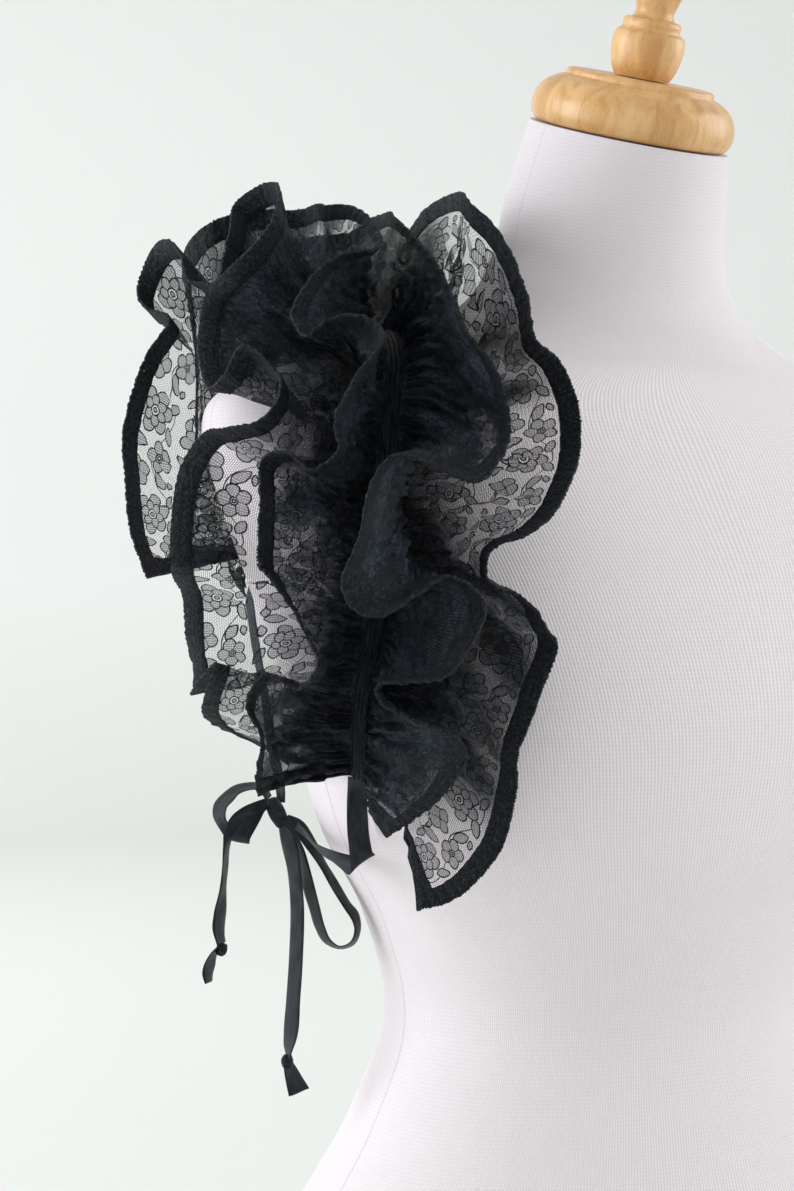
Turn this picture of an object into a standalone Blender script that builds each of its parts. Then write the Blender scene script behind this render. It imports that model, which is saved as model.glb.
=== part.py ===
"""A gathered lace ruffle collar, tied over one shoulder of a limbless dress form.

Run with:  blender --background --python part.py
Metres, +Z up. The form faces -Y and stands on its flat underside at z = 0.
The collar is two strips of lace, gathered along their middle under a narrow casing. The
casing's line is the spine: it starts low at the front of the form's right armhole, climbs
over the shoulder and runs down behind it. Each strip has a frill on both sides of the line,
one towards the arm and one towards the neck, and the two meet under the casing.
"""

import math
from typing import NamedTuple

import bmesh
import bpy
import numpy as np
from mathutils import Matrix, Vector
from mathutils.bvhtree import BVHTree

MM = 0.001
COLLECTION = "lace_ruffle_collar"

# ---------------------------------------------------------------- dress form
FORM_SIDES = 36
FORM_RINGS = 27


class FormRow(NamedTuple):
    """One level section of the body: a rounded oval, tipped forward where the neck leans."""

    height: float
    half_width: float
    half_depth: float
    setback: float
    tilt_deg: float
    power: float


FORM_ROWS = (
    FormRow(0.000, 0.190, 0.126, 0.000, 0, 2.2),
    FormRow(0.060, 0.202, 0.134, 0.000, 0, 2.2),
    FormRow(0.130, 0.193, 0.124, -0.002, 0, 2.1),
    FormRow(0.190, 0.156, 0.104, -0.002, 0, 2.1),
    FormRow(0.245, 0.133, 0.094, 0.000, 0, 2.1),
    FormRow(0.300, 0.149, 0.101, -0.006, 0, 2.1),
    FormRow(0.350, 0.179, 0.112, -0.012, 0, 2.1),
    FormRow(0.410, 0.199, 0.119, -0.014, 0, 2.1),
    FormRow(0.470, 0.216, 0.112, -0.006, 0, 2.2),
    FormRow(0.520, 0.231, 0.096, 0.006, 0, 2.3),
    FormRow(0.555, 0.240, 0.080, 0.012, 0, 2.3),
    FormRow(0.575, 0.230, 0.068, 0.012, 0, 2.2),
    FormRow(0.592, 0.186, 0.062, 0.010, 2, 2.1),
    FormRow(0.606, 0.134, 0.061, 0.005, 4, 2.0),
    FormRow(0.626, 0.089, 0.062, 0.000, 8, 2.0),
    FormRow(0.652, 0.068, 0.062, -0.002, 12, 2.0),
    FormRow(0.684, 0.062, 0.060, -0.007, 16, 2.0),
    FormRow(0.723, 0.056, 0.055, -0.020, 20, 2.0),
)


def smooth_rows(keys, rows, at):
    """Values between the rows of a table, on a smooth curve through all of them."""
    keys, rows, at = np.asarray(keys, float), np.asarray(rows, float), np.asarray(at, float)
    steps = np.diff(keys)[:, None]
    rises = np.diff(rows, axis=0) / steps
    slopes = np.vstack([rises[:1], (rises[:-1] * steps[1:] + rises[1:] * steps[:-1])
                        / (steps[1:] + steps[:-1]), rises[-1:]])
    piece = np.clip(np.searchsorted(keys, at, side="right") - 1, 0, len(keys) - 2)
    gap = (keys[piece + 1] - keys[piece])[:, None]
    t = ((at - keys[piece])[:, None]) / gap
    return ((1 + 2 * t) * (1 - t) ** 2 * rows[piece] + t * (1 - t) ** 2 * gap * slopes[piece]
            + t * t * (3 - 2 * t) * rows[piece + 1] + t * t * (t - 1) * gap * slopes[piece + 1])


def form_rings():
    """The rings of points round the body, from the underside up to the neck."""
    at = np.linspace(0, len(FORM_ROWS) - 1, FORM_RINGS)
    rings = []
    for height, half_width, half_depth, setback, tilt, power in smooth_rows(
            range(len(FORM_ROWS)), FORM_ROWS, at):
        lean = math.radians(tilt)
        ring = []
        for side in range(FORM_SIDES):
            turn = 2 * math.pi * side / FORM_SIDES
            across = math.copysign(abs(math.cos(turn)) ** (2 / power), math.cos(turn))
            back = math.copysign(abs(math.sin(turn)) ** (2 / power), math.sin(turn))
            ring.append(Vector((half_width * across,
                                setback + half_depth * back * math.cos(lean),
                                height + half_depth * back * math.sin(lean))))
        rings.append(ring)
    return rings


# ---------------------------------------------------------------- line that the collar follows
class SpinePoint(NamedTuple):
    """A point near the form that the gathered line passes, before it is seated on the form."""

    x: float
    y: float
    z: float


SPINE_POINTS = (
    SpinePoint(-0.185, -0.044, 0.381),
    SpinePoint(-0.189, -0.057, 0.430),
    SpinePoint(-0.188, -0.068, 0.475),
    SpinePoint(-0.182, -0.060, 0.520),
    SpinePoint(-0.171, -0.046, 0.558),
    SpinePoint(-0.155, -0.024, 0.588),
    SpinePoint(-0.142, 0.008, 0.606),
    SpinePoint(-0.152, 0.041, 0.596),
    SpinePoint(-0.166, 0.064, 0.568),
    SpinePoint(-0.180, 0.072, 0.530),
    SpinePoint(-0.188, 0.068, 0.490),
)
SPINE_STEP = 4 * MM
SEAT_GAP = 0.3 * MM
SEAT_HALF_WIDTH = 6.5 * MM
SPINE_CURVE_POINTS = 200


class Spine:
    """The seated line with its frame: along it, out from the form, and across to the neck side."""

    def __init__(self, form_tree):
        rough = self._evenly(smooth_rows(range(len(SPINE_POINTS)), SPINE_POINTS,
                                         np.linspace(0, len(SPINE_POINTS) - 1,
                                                     SPINE_CURVE_POINTS)))
        seats, outs = [], []
        for point in rough:
            seat, out, _, _ = form_tree.find_nearest(Vector(point))
            seats.append(seat)
            outs.append(out)
        seats, outs = self._eased(np.array(seats), 3), self._eased(np.array(outs), 12)
        self.points = seats
        self.out = outs / np.linalg.norm(outs, axis=1)[:, None]
        along = np.gradient(self._eased(seats, 6), axis=0)
        along -= (along * self.out).sum(1)[:, None] * self.out
        self.along = along / np.linalg.norm(along, axis=1)[:, None]
        self.across = np.cross(self.along, self.out)
        sunk = np.array([max(self._sunk(form_tree, point + side * SEAT_HALF_WIDTH * across)
                             for side in (-1, -0.5, 0, 0.5, 1))
                         for point, across in zip(self.points, self.across)])
        sunk = self._eased(np.maximum(sunk, np.maximum(np.roll(sunk, 1), np.roll(sunk, -1))), 4)
        self.points = self.points + sunk[:, None] * self.out
        self.length_to = np.concatenate(
            [[0], np.cumsum(np.linalg.norm(np.diff(self.points, axis=0), axis=1))])
        self.length = self.length_to[-1]

    @staticmethod
    def _sunk(form_tree, point):
        """How far a point is under the form's surface, or nothing if it is outside."""
        seat, out, _, _ = form_tree.find_nearest(Vector(point))
        return max(-(Vector(point) - seat).dot(out), 0.0)

    @staticmethod
    def _evenly(line):
        """The line again with points SPINE_STEP apart."""
        to = np.concatenate([[0], np.cumsum(np.linalg.norm(np.diff(line, axis=0), axis=1))])
        at = np.linspace(0, to[-1], round(to[-1] / SPINE_STEP) + 1)
        return np.stack([np.interp(at, to, line[:, axis]) for axis in range(3)], axis=1)

    @staticmethod
    def _eased(values, times):
        """The values with their small jumps smoothed away, the two ends kept."""
        for _ in range(times):
            values = values.copy()
            values[1:-1] = (values[:-2] + 2 * values[1:-1] + values[2:]) / 4
        return values

    def _at(self, values, distance):
        return np.array([np.interp(distance, self.length_to, values[:, axis]) for axis in range(3)])

    def place(self, distance, sideways, lift):
        """The point at a distance along the spine, sideways to the neck and lifted off the form."""
        inside = min(max(distance, 0.0), self.length)
        along, out, across = (self._at(v, inside) for v in (self.along, self.out, self.across))
        return (self._at(self.points, inside) + (distance - inside) * along
                + sideways * across + lift * out)

    def casing_edges(self, at_back, gap):
        """The two edges of the tie ribbon where it is a gap beyond an end of the casing."""
        distance, way = (self.length, 1) if at_back else (0.0, -1)
        beyond = Vector(way * gap * self._at(self.along, distance))
        return tuple(Vector(self.place(distance, side * way * RIBBON_WIDTH / 2, CASING_LIFT))
                     + beyond for side in (1, -1))


# ---------------------------------------------------------------- lace strips and casing
LACE_WALL = 1.0 * MM
HEM_WALL = 1.6 * MM
CASING_WIDTH = 9.0 * MM
CASING_WALL = 1.0 * MM
ROOT_SIDEWAYS = CASING_WIDTH / 2 + 1.1 * MM
UNDER_LIFT = 2 * SEAT_GAP + LACE_WALL / 2
UPPER_LIFT = UNDER_LIFT + LACE_WALL + 2.6 * SEAT_GAP
CASING_LIFT = UPPER_LIFT + (LACE_WALL + CASING_WALL) / 2 + SEAT_GAP
STRIP_ROWS = 118
FRILL_SHARES = (0.0, 0.22, 0.5, 0.895, 1.0)
HEM_COLUMNS = 2
CURVE_STEPS = 12
FORM_CLEARANCE = 2.2 * MM


class Fold(NamedTuple):
    """Where a frill's hem turns: along the spine, raised from the form, and how far out."""

    along_mm: float
    raised_deg: float
    reach_mm: float


UNDER_NECK_FOLDS = (
    Fold(-21, 43, 88),
    Fold(-19, 33, 90),
    Fold(-10, 22, 91),
    Fold(4, 13, 92),
    Fold(26, 9, 92),
    Fold(49, 19, 92),
    Fold(70, 19, 92),
    Fold(82, 18, 92),
    Fold(88, 29, 92),
    Fold(94, 42, 90),
    Fold(99, 53, 78),
    Fold(107, 53, 78),
    Fold(112, 45, 88),
    Fold(120, 36, 93),
    Fold(134, 30, 94),
    Fold(156, 32, 94),
    Fold(174, 37, 94),
    Fold(186, 47, 92),
    Fold(188, 58, 91),
    Fold(203, 61, 90),
    Fold(212, 64, 90),
    Fold(221, 67, 90),
    Fold(229, 70, 88),
    Fold(240, 66, 84),
    Fold(252, 59, 81),
    Fold(264, 53, 82),
    Fold(274, 48, 85),
    Fold(282, 42, 87),
    Fold(290, 30, 88),
    Fold(302, 16, 90),
    Fold(320, 32, 92),
    Fold(336, 50, 90),
    Fold(354, 22, 92),
    Fold(374, 6, 94),
    Fold(392, 18, 90),
    Fold(412, 22, 92),
    Fold(434, 8, 92),
)
UPPER_NECK_FOLDS = (
    Fold(13, 50, 88),
    Fold(21, 42, 90),
    Fold(31, 35, 90),
    Fold(41, 34, 90),
    Fold(50, 41, 90),
    Fold(57, 60, 84),
    Fold(61, 69, 84),
    Fold(68, 72, 86),
    Fold(71, 64, 88),
    Fold(77, 52, 88),
    Fold(87, 51, 88),
    Fold(95, 60, 88),
    Fold(97, 68, 86),
    Fold(92, 74, 88),
    Fold(86, 80, 90),
    Fold(88, 92, 90),
    Fold(93, 97, 90),
    Fold(110, 96, 90),
    Fold(123, 94, 90),
    Fold(132, 90, 90),
    Fold(131, 82, 90),
    Fold(128, 74, 88),
    Fold(127, 61, 90),
    Fold(137, 58, 90),
    Fold(154, 65, 90),
    Fold(169, 73, 90),
    Fold(179, 81, 88),
    Fold(190, 85, 86),
    Fold(202, 88, 80),
    Fold(213, 90, 74),
    Fold(224, 91, 69),
    Fold(238, 90, 65),
    Fold(256, 84, 62),
    Fold(274, 70, 66),
    Fold(292, 56, 84),
    Fold(310, 74, 88),
    Fold(330, 54, 90),
    Fold(352, 60, 90),
    Fold(376, 40, 90),
    Fold(398, 46, 90),
    Fold(422, 34, 90),
)
UPPER_ARM_FOLDS = (
    Fold(24, 98, 90),
    Fold(42, 92, 90),
    Fold(54, 80, 90),
    Fold(63, 82, 90),
    Fold(61, 94, 88),
    Fold(70, 97, 88),
    Fold(80, 88, 88),
    Fold(90, 72, 90),
    Fold(98, 62, 90),
    Fold(110, 60, 90),
    Fold(122, 60, 90),
    Fold(134, 58, 90),
    Fold(135, 66, 90),
    Fold(129, 75, 88),
    Fold(134, 81, 88),
    Fold(145, 75, 88),
    Fold(156, 75, 88),
    Fold(174, 81, 88),
    Fold(180, 74, 87),
    Fold(178, 63, 88),
    Fold(174, 57, 88),
    Fold(180, 53, 90),
    Fold(193, 57, 90),
    Fold(201, 66, 90),
    Fold(205, 78, 88),
    Fold(218, 80, 82),
    Fold(236, 80, 76),
    Fold(252, 76, 74),
    Fold(270, 82, 74),
    Fold(288, 88, 77),
    Fold(298, 70, 88),
    Fold(306, 62, 93),
    Fold(320, 66, 93),
    Fold(334, 80, 84),
    Fold(352, 100, 78),
    Fold(370, 110, 74),
    Fold(388, 116, 74),
    Fold(410, 108, 70),
)
UNDER_ARM_FOLDS = (
    Fold(-9, -13, 76),
    Fold(2, -2, 80),
    Fold(14, 11, 80),
    Fold(26, 22, 77),
    Fold(38, 27, 72),
    Fold(46, 25, 69),
    Fold(48, 21, 69),
    Fold(44, 18, 73),
    Fold(37, 16, 80),
    Fold(30, 14, 86),
    Fold(26, 11, 90),
    Fold(27, 7, 92),
    Fold(32, 4, 93),
    Fold(41, 2, 93),
    Fold(53, 2, 92),
    Fold(66, 3, 93),
    Fold(98, 12, 96),
    Fold(127, 6, 97),
    Fold(143, 4, 95),
    Fold(154, 14, 88),
    Fold(152, 28, 82),
    Fold(153, 40, 76),
    Fold(164, 45, 76),
    Fold(173, 40, 80),
    Fold(179, 34, 88),
    Fold(172, 25, 88),
    Fold(176, 10, 88),
    Fold(193, 8, 94),
    Fold(222, 18, 96),
    Fold(214, 29, 97),
    Fold(214, 39, 97),
    Fold(220, 49, 97),
    Fold(231, 58, 98),
    Fold(258, 66, 98),
    Fold(280, 67, 98),
    Fold(288, 60, 98),
    Fold(284, 43, 96),
    Fold(294, 24, 97),
    Fold(304, 24, 99),
    Fold(306, 34, 103),
    Fold(311, 43, 106),
    Fold(320, 50, 106),
    Fold(330, 45, 102),
    Fold(334, 30, 94),
    Fold(328, 17, 90),
    Fold(348, 13, 90),
    Fold(370, 7, 92),
    Fold(392, 8, 92),
    Fold(426, 13, 92),
    Fold(458, 8, 90),
)


class Strip(NamedTuple):
    """A lace strip: its height on the casing's line, and how its two frills rise from it."""

    name: str
    lift: float
    root_deg: float
    neck_folds: tuple
    arm_folds: tuple


STRIPS = (
    Strip("lace_under", UNDER_LIFT, 18, UNDER_NECK_FOLDS, UNDER_ARM_FOLDS),
    Strip("lace_upper", UPPER_LIFT, 66, UPPER_NECK_FOLDS, UPPER_ARM_FOLDS),
)


def lengths_along(points):
    """The distance to each point along a line of points."""
    return np.concatenate([[0], np.cumsum(np.linalg.norm(np.diff(points, axis=0), axis=1))])


def hem_line(folds, rows):
    """(along, raised, reach) of the hem at equal steps of cloth, in metres and radians."""
    turns = np.array([(f.along_mm * MM, math.radians(f.raised_deg), f.reach_mm * MM)
                      for f in folds])
    flat = np.stack([turns[:, 0], turns[:, 1] * turns[:, 2], turns[:, 2]], axis=1)
    fine = smooth_rows(lengths_along(flat), turns,
                       np.linspace(0, lengths_along(flat)[-1], CURVE_STEPS * len(folds)))
    flat = np.stack([fine[:, 0], fine[:, 1] * fine[:, 2], fine[:, 2]], axis=1)
    to = lengths_along(flat)
    at = np.linspace(0, to[-1], rows)
    return np.stack([np.interp(at, to, fine[:, axis]) for axis in range(3)], axis=1)


def frill_points(spine, strip, folds, side):
    """The frill's rows of points from the casing's edge (first) to the hem (last)."""
    rows = []
    root_raised = math.radians(strip.root_deg)
    for row, (along, raised, reach) in enumerate(hem_line(folds, STRIP_ROWS)):
        root_along = spine.length * row / (STRIP_ROWS - 1)
        points = []
        for share in FRILL_SHARES:
            distance = root_along + (along - root_along) * share
            turn = root_raised + (raised - root_raised) * math.sqrt(share)
            out = reach * share
            points.append(spine.place(
                distance,
                side * (ROOT_SIDEWAYS + out * math.cos(turn)),
                strip.lift + out * math.sin(turn)))
        rows.append(points)
    return np.array(rows)


def clear_of_form(point, form_tree, clearance):
    """The point, moved straight out from the form if it is nearer than the clearance."""
    seat, out, _, _ = form_tree.find_nearest(Vector(point))
    height = (Vector(point) - seat).dot(out)
    return point if height >= clearance else np.array(Vector(point) + (clearance - height) * out)


def wall(name, grid, thickness, material, edge_thickness=None, edge_columns=0):
    """A closed wall on a grid of points, thicker along its last columns if asked."""
    rows, columns = grid.shape[:2]
    mesh = bpy.data.meshes.new(name)
    faces = [(r * columns + c, r * columns + c + 1, (r + 1) * columns + c + 1, (r + 1) * columns + c)
             for r in range(rows - 1) for c in range(columns - 1)]
    mesh.from_pydata(grid.reshape(-1, 3).tolist(), [], faces)
    mesh.shade_smooth()
    piece = place_object(name, mesh, material)
    shell = piece.modifiers.new("wall", "SOLIDIFY")
    shell.offset = 0
    shell.thickness = edge_thickness or thickness
    if edge_thickness:
        thin = piece.vertex_groups.new(name="full_thickness")
        for r in range(rows):
            for c in range(columns):
                at_edge = c >= columns - edge_columns
                thin.add([r * columns + c], 1.0 if at_edge else 0.0, "REPLACE")
        shell.vertex_group = thin.name
        shell.thickness_vertex_group = thickness / edge_thickness
    return piece


def build_frill(spine, strip, side_name, form_tree, material):
    """One frill of a strip, from the middle of the casing's line out to its hem."""
    side, folds = {"arm": (-1, strip.arm_folds), "neck": (1, strip.neck_folds)}[side_name]
    frill = frill_points(spine, strip, folds, side)
    for points in frill:
        points[1:] = [clear_of_form(point, form_tree, FORM_CLEARANCE) for point in points[1:]]
    middle = [spine.place(distance, side * SEAT_GAP / 2, strip.lift)
              for distance in np.linspace(0, spine.length, STRIP_ROWS)]
    grid = np.concatenate([np.array(middle)[:, None], frill], axis=1)
    wall(f"{strip.name}_{side_name}", grid, LACE_WALL, material, HEM_WALL, HEM_COLUMNS)


def build_casing(spine, material):
    """The narrow band over the gathers."""
    rows = [[spine.place(distance, side * CASING_WIDTH / 2, CASING_LIFT) for side in (-1, 1)]
            for distance in np.linspace(0, spine.length, STRIP_ROWS)]
    return wall("casing", np.array(rows), CASING_WALL, material)


# ---------------------------------------------------------------- dress form pieces
CAP_LEAN_DEG = 20
CAP_SEAT = 0.5 * MM


class TurnedPoint(NamedTuple):
    """A point on a turned piece's outline: height above its foot, and radius."""

    height: float
    radius: float


CAP_OUTLINE = (
    TurnedPoint(0.0000, 0.0500),
    TurnedPoint(0.0010, 0.0532),
    TurnedPoint(0.0050, 0.0557),
    TurnedPoint(0.0100, 0.0564),
    TurnedPoint(0.0160, 0.0552),
    TurnedPoint(0.0215, 0.0516),
    TurnedPoint(0.0250, 0.0466),
    TurnedPoint(0.0268, 0.0428),
    TurnedPoint(0.0272, 0.0414),
    TurnedPoint(0.0295, 0.0409),
    TurnedPoint(0.0306, 0.0394),
    TurnedPoint(0.0310, 0.0370),
)
FINIAL_OUTLINE = (
    TurnedPoint(0.0000, 0.0152),
    TurnedPoint(0.0040, 0.0174),
    TurnedPoint(0.0100, 0.0191),
    TurnedPoint(0.0160, 0.0199),
    TurnedPoint(0.0205, 0.0197),
    TurnedPoint(0.0240, 0.0184),
    TurnedPoint(0.0250, 0.0166),
    TurnedPoint(0.0264, 0.0158),
    TurnedPoint(0.0290, 0.0160),
    TurnedPoint(0.0308, 0.0150),
    TurnedPoint(0.0318, 0.0116),
    TurnedPoint(0.0345, 0.0105),
    TurnedPoint(0.0400, 0.0118),
    TurnedPoint(0.0500, 0.0150),
    TurnedPoint(0.0620, 0.0172),
    TurnedPoint(0.0740, 0.0176),
    TurnedPoint(0.0850, 0.0160),
    TurnedPoint(0.0930, 0.0118),
    TurnedPoint(0.0970, 0.0055),
)
TURNED_SIDES = 24


def build_torso(rings, material):
    """The body: rings joined into one closed skin with a flat underside."""
    mesh = bpy.data.meshes.new("form_torso")
    points = [point for ring in rings for point in ring]
    faces = []
    for low in range(0, len(points) - FORM_SIDES, FORM_SIDES):
        for side in range(FORM_SIDES):
            after = (side + 1) % FORM_SIDES
            faces.append((low + side, low + after, low + FORM_SIDES + after, low + FORM_SIDES + side))
    faces.append(tuple(reversed(range(FORM_SIDES))))
    faces.append(tuple(range(len(points) - FORM_SIDES, len(points))))
    mesh.from_pydata(points, [], faces)
    mesh.shade_smooth()
    mesh.set_sharp_from_angle(angle=math.radians(40))
    return place_object("form_torso", mesh, material)


def build_turned(name, outline, foot, lean_deg, material):
    """A turned piece, from its outline spun about its own upright axis, then leaned forward."""
    mesh = bpy.data.meshes.new(name)
    profile = [(0.0, outline[-1].height), *((p.radius, p.height) for p in reversed(outline)),
               (0.0, outline[0].height)]
    mesh.from_pydata([(radius, 0.0, height) for radius, height in profile],
                     [(i, i + 1) for i in range(len(profile) - 1)], [])
    piece = place_object(name, mesh, material)
    spin = piece.modifiers.new("turned", "SCREW")
    spin.steps = spin.render_steps = TURNED_SIDES
    spin.use_merge_vertices = True
    spin.merge_threshold = 0.0001
    piece.location = foot
    piece.rotation_euler = (math.radians(lean_deg), 0, 0)
    return piece


def build_form(rings):
    """The dress form: torso, neck cap and finial, each seated on the one below."""
    jersey = finish("white_jersey", (0.86, 0.83, 0.82), 0.85)
    wood = finish("honey_wood", (0.66, 0.38, 0.15), 0.25)
    build_torso(rings, jersey)
    neck = sum(rings[-1], Vector()) / FORM_SIDES
    lean = math.radians(CAP_LEAN_DEG)
    up = Vector((0, -math.sin(lean), math.cos(lean)))
    build_turned("form_neck_cap", CAP_OUTLINE, neck + CAP_SEAT * up, CAP_LEAN_DEG, wood)
    top = neck + (2 * CAP_SEAT + CAP_OUTLINE[-1].height) * up
    build_turned("form_finial", FINIAL_OUTLINE, top, CAP_LEAN_DEG, wood)


# ---------------------------------------------------------------- tie ribbon and bow
RIBBON_WIDTH = 12 * MM
RIBBON_WALL = 1.0 * MM
RIBBON_STEP = 4 * MM
TRIM_STEP = 0.25 * MM
KNOT_GAP = 0.5 * MM
KNOT_CAGE = 1.3  # a knot's block before its corners are rounded away, against its finished size
BOW_CENTRE = Vector((-0.1900, 0.0405, 0.3595))
BOW_RIGHT = Vector((0.852, -0.524, 0.0)).normalized()
BOW_TOWARD = Vector((-0.524, -0.852, 0.0)).normalized()


class RibbonRow(NamedTuple):
    """The two edges of a ribbon beside the bow's centre, and which of them is nearer the front.

    The edges are given to the right and up; toward is the ribbon's middle. The ribbon leans
    just enough between its edges to keep its width: 1 brings the first edge nearer, -1 the second.
    """

    first_right_mm: float
    first_up_mm: float
    second_right_mm: float
    second_up_mm: float
    toward_mm: float
    lean: float


class Knot(NamedTuple):
    """A pulled-tight knot beside the bow's centre: its middle, its size, and its tilt."""

    right_mm: float
    up_mm: float
    toward_mm: float
    width_mm: float
    depth_mm: float
    height_mm: float
    tilt_deg: float


BOW_KNOT = Knot(2.5, -4, 1, 9, 9, 17, 24)
TAIL_SHORT_KNOT = Knot(-26, -74.5, 10, 6, 6, 7, -20)
TAIL_LONG_KNOT = Knot(7.5, -136.5, -5, 6.5, 6, 7.5, 0)
RIBBON_FRONT = (
    RibbonRow(41, 11, 50.5, 11, 70, 0.3),
    RibbonRow(41, 5.5, 51, 5.5, 69, 0.6),
    RibbonRow(41.5, -9.5, 52, -9.5, 66, 1),
    RibbonRow(42, -15.5, 53.5, -16.5, 65, 0),
    RibbonRow(42.5, -24, 54.5, -18, 63, 0),
    RibbonRow(43.5, -29, 53.5, -19.5, 61, 0),
    RibbonRow(40.5, -28, 45.5, -19.5, 58, 0),
    RibbonRow(34, -24.5, 36.5, -18, 50, -1),
    RibbonRow(29, -22.5, 29, -16.5, 43, -1),
    RibbonRow(23, -18.5, 23, -14.5, 31, -1),
    RibbonRow(16.5, -14, 17.5, -9.5, 18, -0.8),
    RibbonRow(9, -10, 11.5, -6, 9, -0.3),
)
BOW_LOOP_LEFT = (
    RibbonRow(-1.5, 3, -0.5, -1.5, 1, 0.3),
    RibbonRow(-5, 1.5, -3.2, -2.5, 1, 0.15),
    RibbonRow(-11.5, -1.5, -6.5, -8, 3, 0.5),
    RibbonRow(-17.5, -6.5, -9.5, -13.5, 4.5, 0.5),
    RibbonRow(-22, -13, -11.5, -17.5, 4, 0),
    RibbonRow(-24, -18, -12.5, -20.5, 0, 0),
    RibbonRow(-26, -16.5, -15, -19, -4, 0),
    RibbonRow(-29.5, -12.5, -21, -13.5, -6, -0.7),
    RibbonRow(-32.5, -6.5, -25, -7, -7, -1),
    RibbonRow(-32, -1, -24.5, -2, -8, -1),
    RibbonRow(-27.5, 4.5, -21, 2, -8, -1),
    RibbonRow(-21, 9, -18, 5.5, -8, -1),
    RibbonRow(-14.5, 10.5, -13.5, 7.5, -7, -1),
    RibbonRow(-8, 10.5, -8, 8, -5, -1),
    RibbonRow(-3.5, 8, -5, 5.5, -3, -1),
    RibbonRow(-1, 4, -3, 2.5, -2, -1),
)
BOW_LOOP_RIGHT = (
    RibbonRow(4.5, -9.5, 8.5, -5, 3, 0.3),
    RibbonRow(11.5, -14.5, 15.5, -8, 4, 0.5),
    RibbonRow(18.5, -22, 22, -17.5, 5, 0.8),
    RibbonRow(25, -30.5, 27.5, -29, 6, 1),
    RibbonRow(31.5, -42, 34.5, -40.5, 6, 1),
    RibbonRow(38, -52.5, 41, -51.5, 6, 1),
    RibbonRow(42.5, -59.5, 45.5, -57.5, 6, 1),
    RibbonRow(43.5, -65, 46.5, -65.5, 5, 1),
    RibbonRow(41, -71, 43, -74, 4, 1),
    RibbonRow(35.5, -73, 35, -76.5, 3, 1),
    RibbonRow(31, -70, 27.5, -73.5, 2, 1),
    RibbonRow(27.5, -62.5, 22, -64.5, 1, 1),
    RibbonRow(25.5, -55, 19.5, -56.5, 0, 1),
    RibbonRow(22.5, -44, 16, -46, -3, 1),
    RibbonRow(19.5, -33.5, 13.5, -35, -6, 1),
    RibbonRow(16, -23, 10.5, -24.5, -8, 0.8),
    RibbonRow(11, -14, 7, -16, -5, 0.4),
)
TAIL_SHORT = (
    RibbonRow(-3.5, 4, -2.5, -1, 4.5, 0.2),
    RibbonRow(-8.5, 2.5, -5.5, -2.5, 7.5, 0.3),
    RibbonRow(-14, 0.5, -10, -4, 11, 0.6),
    RibbonRow(-19.5, -3.5, -15, -7.5, 13, 0.8),
    RibbonRow(-23.5, -10.5, -19, -12.5, 13, 1),
    RibbonRow(-24.5, -20, -22, -20.5, 11, 1),
    RibbonRow(-25, -31.5, -23, -31.5, 11, 1),
    RibbonRow(-26.5, -43, -24, -42, 11, 1),
    RibbonRow(-29.5, -55.5, -24, -54.5, 11, 1),
    RibbonRow(-30, -64, -25, -64, 10, 1),
    RibbonRow(-28.5, -69, -25, -68.5, 10, 1),
    RibbonRow(-27.5, -72, -24.5, -71.5, 10, 1),
)
TAIL_LONG = (
    RibbonRow(2.5, -6, 6.5, -8, 0, -0.3),
    RibbonRow(4, -18, 12.5, -18, 1, -1),
    RibbonRow(7.5, -35, 15, -35, -2, -1),
    RibbonRow(9, -54.5, 16.5, -54.5, -5, -1),
    RibbonRow(8.5, -78.5, 16, -78.5, -5, -1),
    RibbonRow(7, -102.5, 14.5, -102.5, -5, -1),
    RibbonRow(5.5, -123, 12.5, -124, -5, -1),
    RibbonRow(5.5, -129.5, 10, -131, -5, -1),
    RibbonRow(6.5, -134, 9, -134.5, -5, -1),
)
TAIL_SHORT_END = (
    RibbonRow(-27.5, -72, -28.5, -76, 10, 1),
    RibbonRow(-31, -75.5, -29.5, -80, 10, 1),
    RibbonRow(-34.5, -81.5, -30, -84, 10, 1),
    RibbonRow(-35.5, -86, -31, -87.5, 10, 1),
    RibbonRow(-34, -91.5, -31.5, -92, 10, 1),
)
TAIL_LONG_END = (
    RibbonRow(6, -138, 9.5, -137.5, -5, 1),
    RibbonRow(6.5, -142, 12, -141, -5, 1),
    RibbonRow(7.5, -148.5, 15.5, -146.5, -5, 1),
    RibbonRow(8.5, -154.5, 19, -151.5, -5, 1),
)
RIBBON_BACK = (
    RibbonRow(-17, 110, -12, 110, -26, -1),
    RibbonRow(-13, 84, -8, 84, -22, -1),
    RibbonRow(-7, 54, -2, 54, -14, -1),
    RibbonRow(-3, 26, 3, 26, -11, -1),
    RibbonRow(0.5, 11, 6, 11, -9, -0.8),
    RibbonRow(2.5, 0, 6.5, 0, -2, -0.1),
)


def beside_bow(right_mm, up_mm, toward_mm):
    """The place in the room of a point given beside the bow's centre."""
    return (BOW_CENTRE + BOW_RIGHT * (right_mm * MM) + Vector((0, 0, up_mm * MM))
            + BOW_TOWARD * (toward_mm * MM))


def ribbon_edges(table):
    """Close pairs of edge points along a smooth line through a ribbon's rows."""
    rows = np.array(table, float)
    middles = np.column_stack([(rows[:, :2] + rows[:, 2:4]) / 2, rows[:, 4]])
    keys = lengths_along(middles) * MM
    pairs = []
    for row in smooth_rows(keys, rows, np.linspace(0, keys[-1], round(keys[-1] / TRIM_STEP) + 1)):
        first, second, toward, lean = row[:2], row[2:4], row[4], row[5]
        seen = np.linalg.norm(second - first)
        nearer = lean * math.sqrt(max((RIBBON_WIDTH / MM) ** 2 - seen ** 2, 0)) / 2
        pairs.append((beside_bow(*first, toward + nearer), beside_bow(*second, toward - nearer)))
    return pairs


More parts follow.
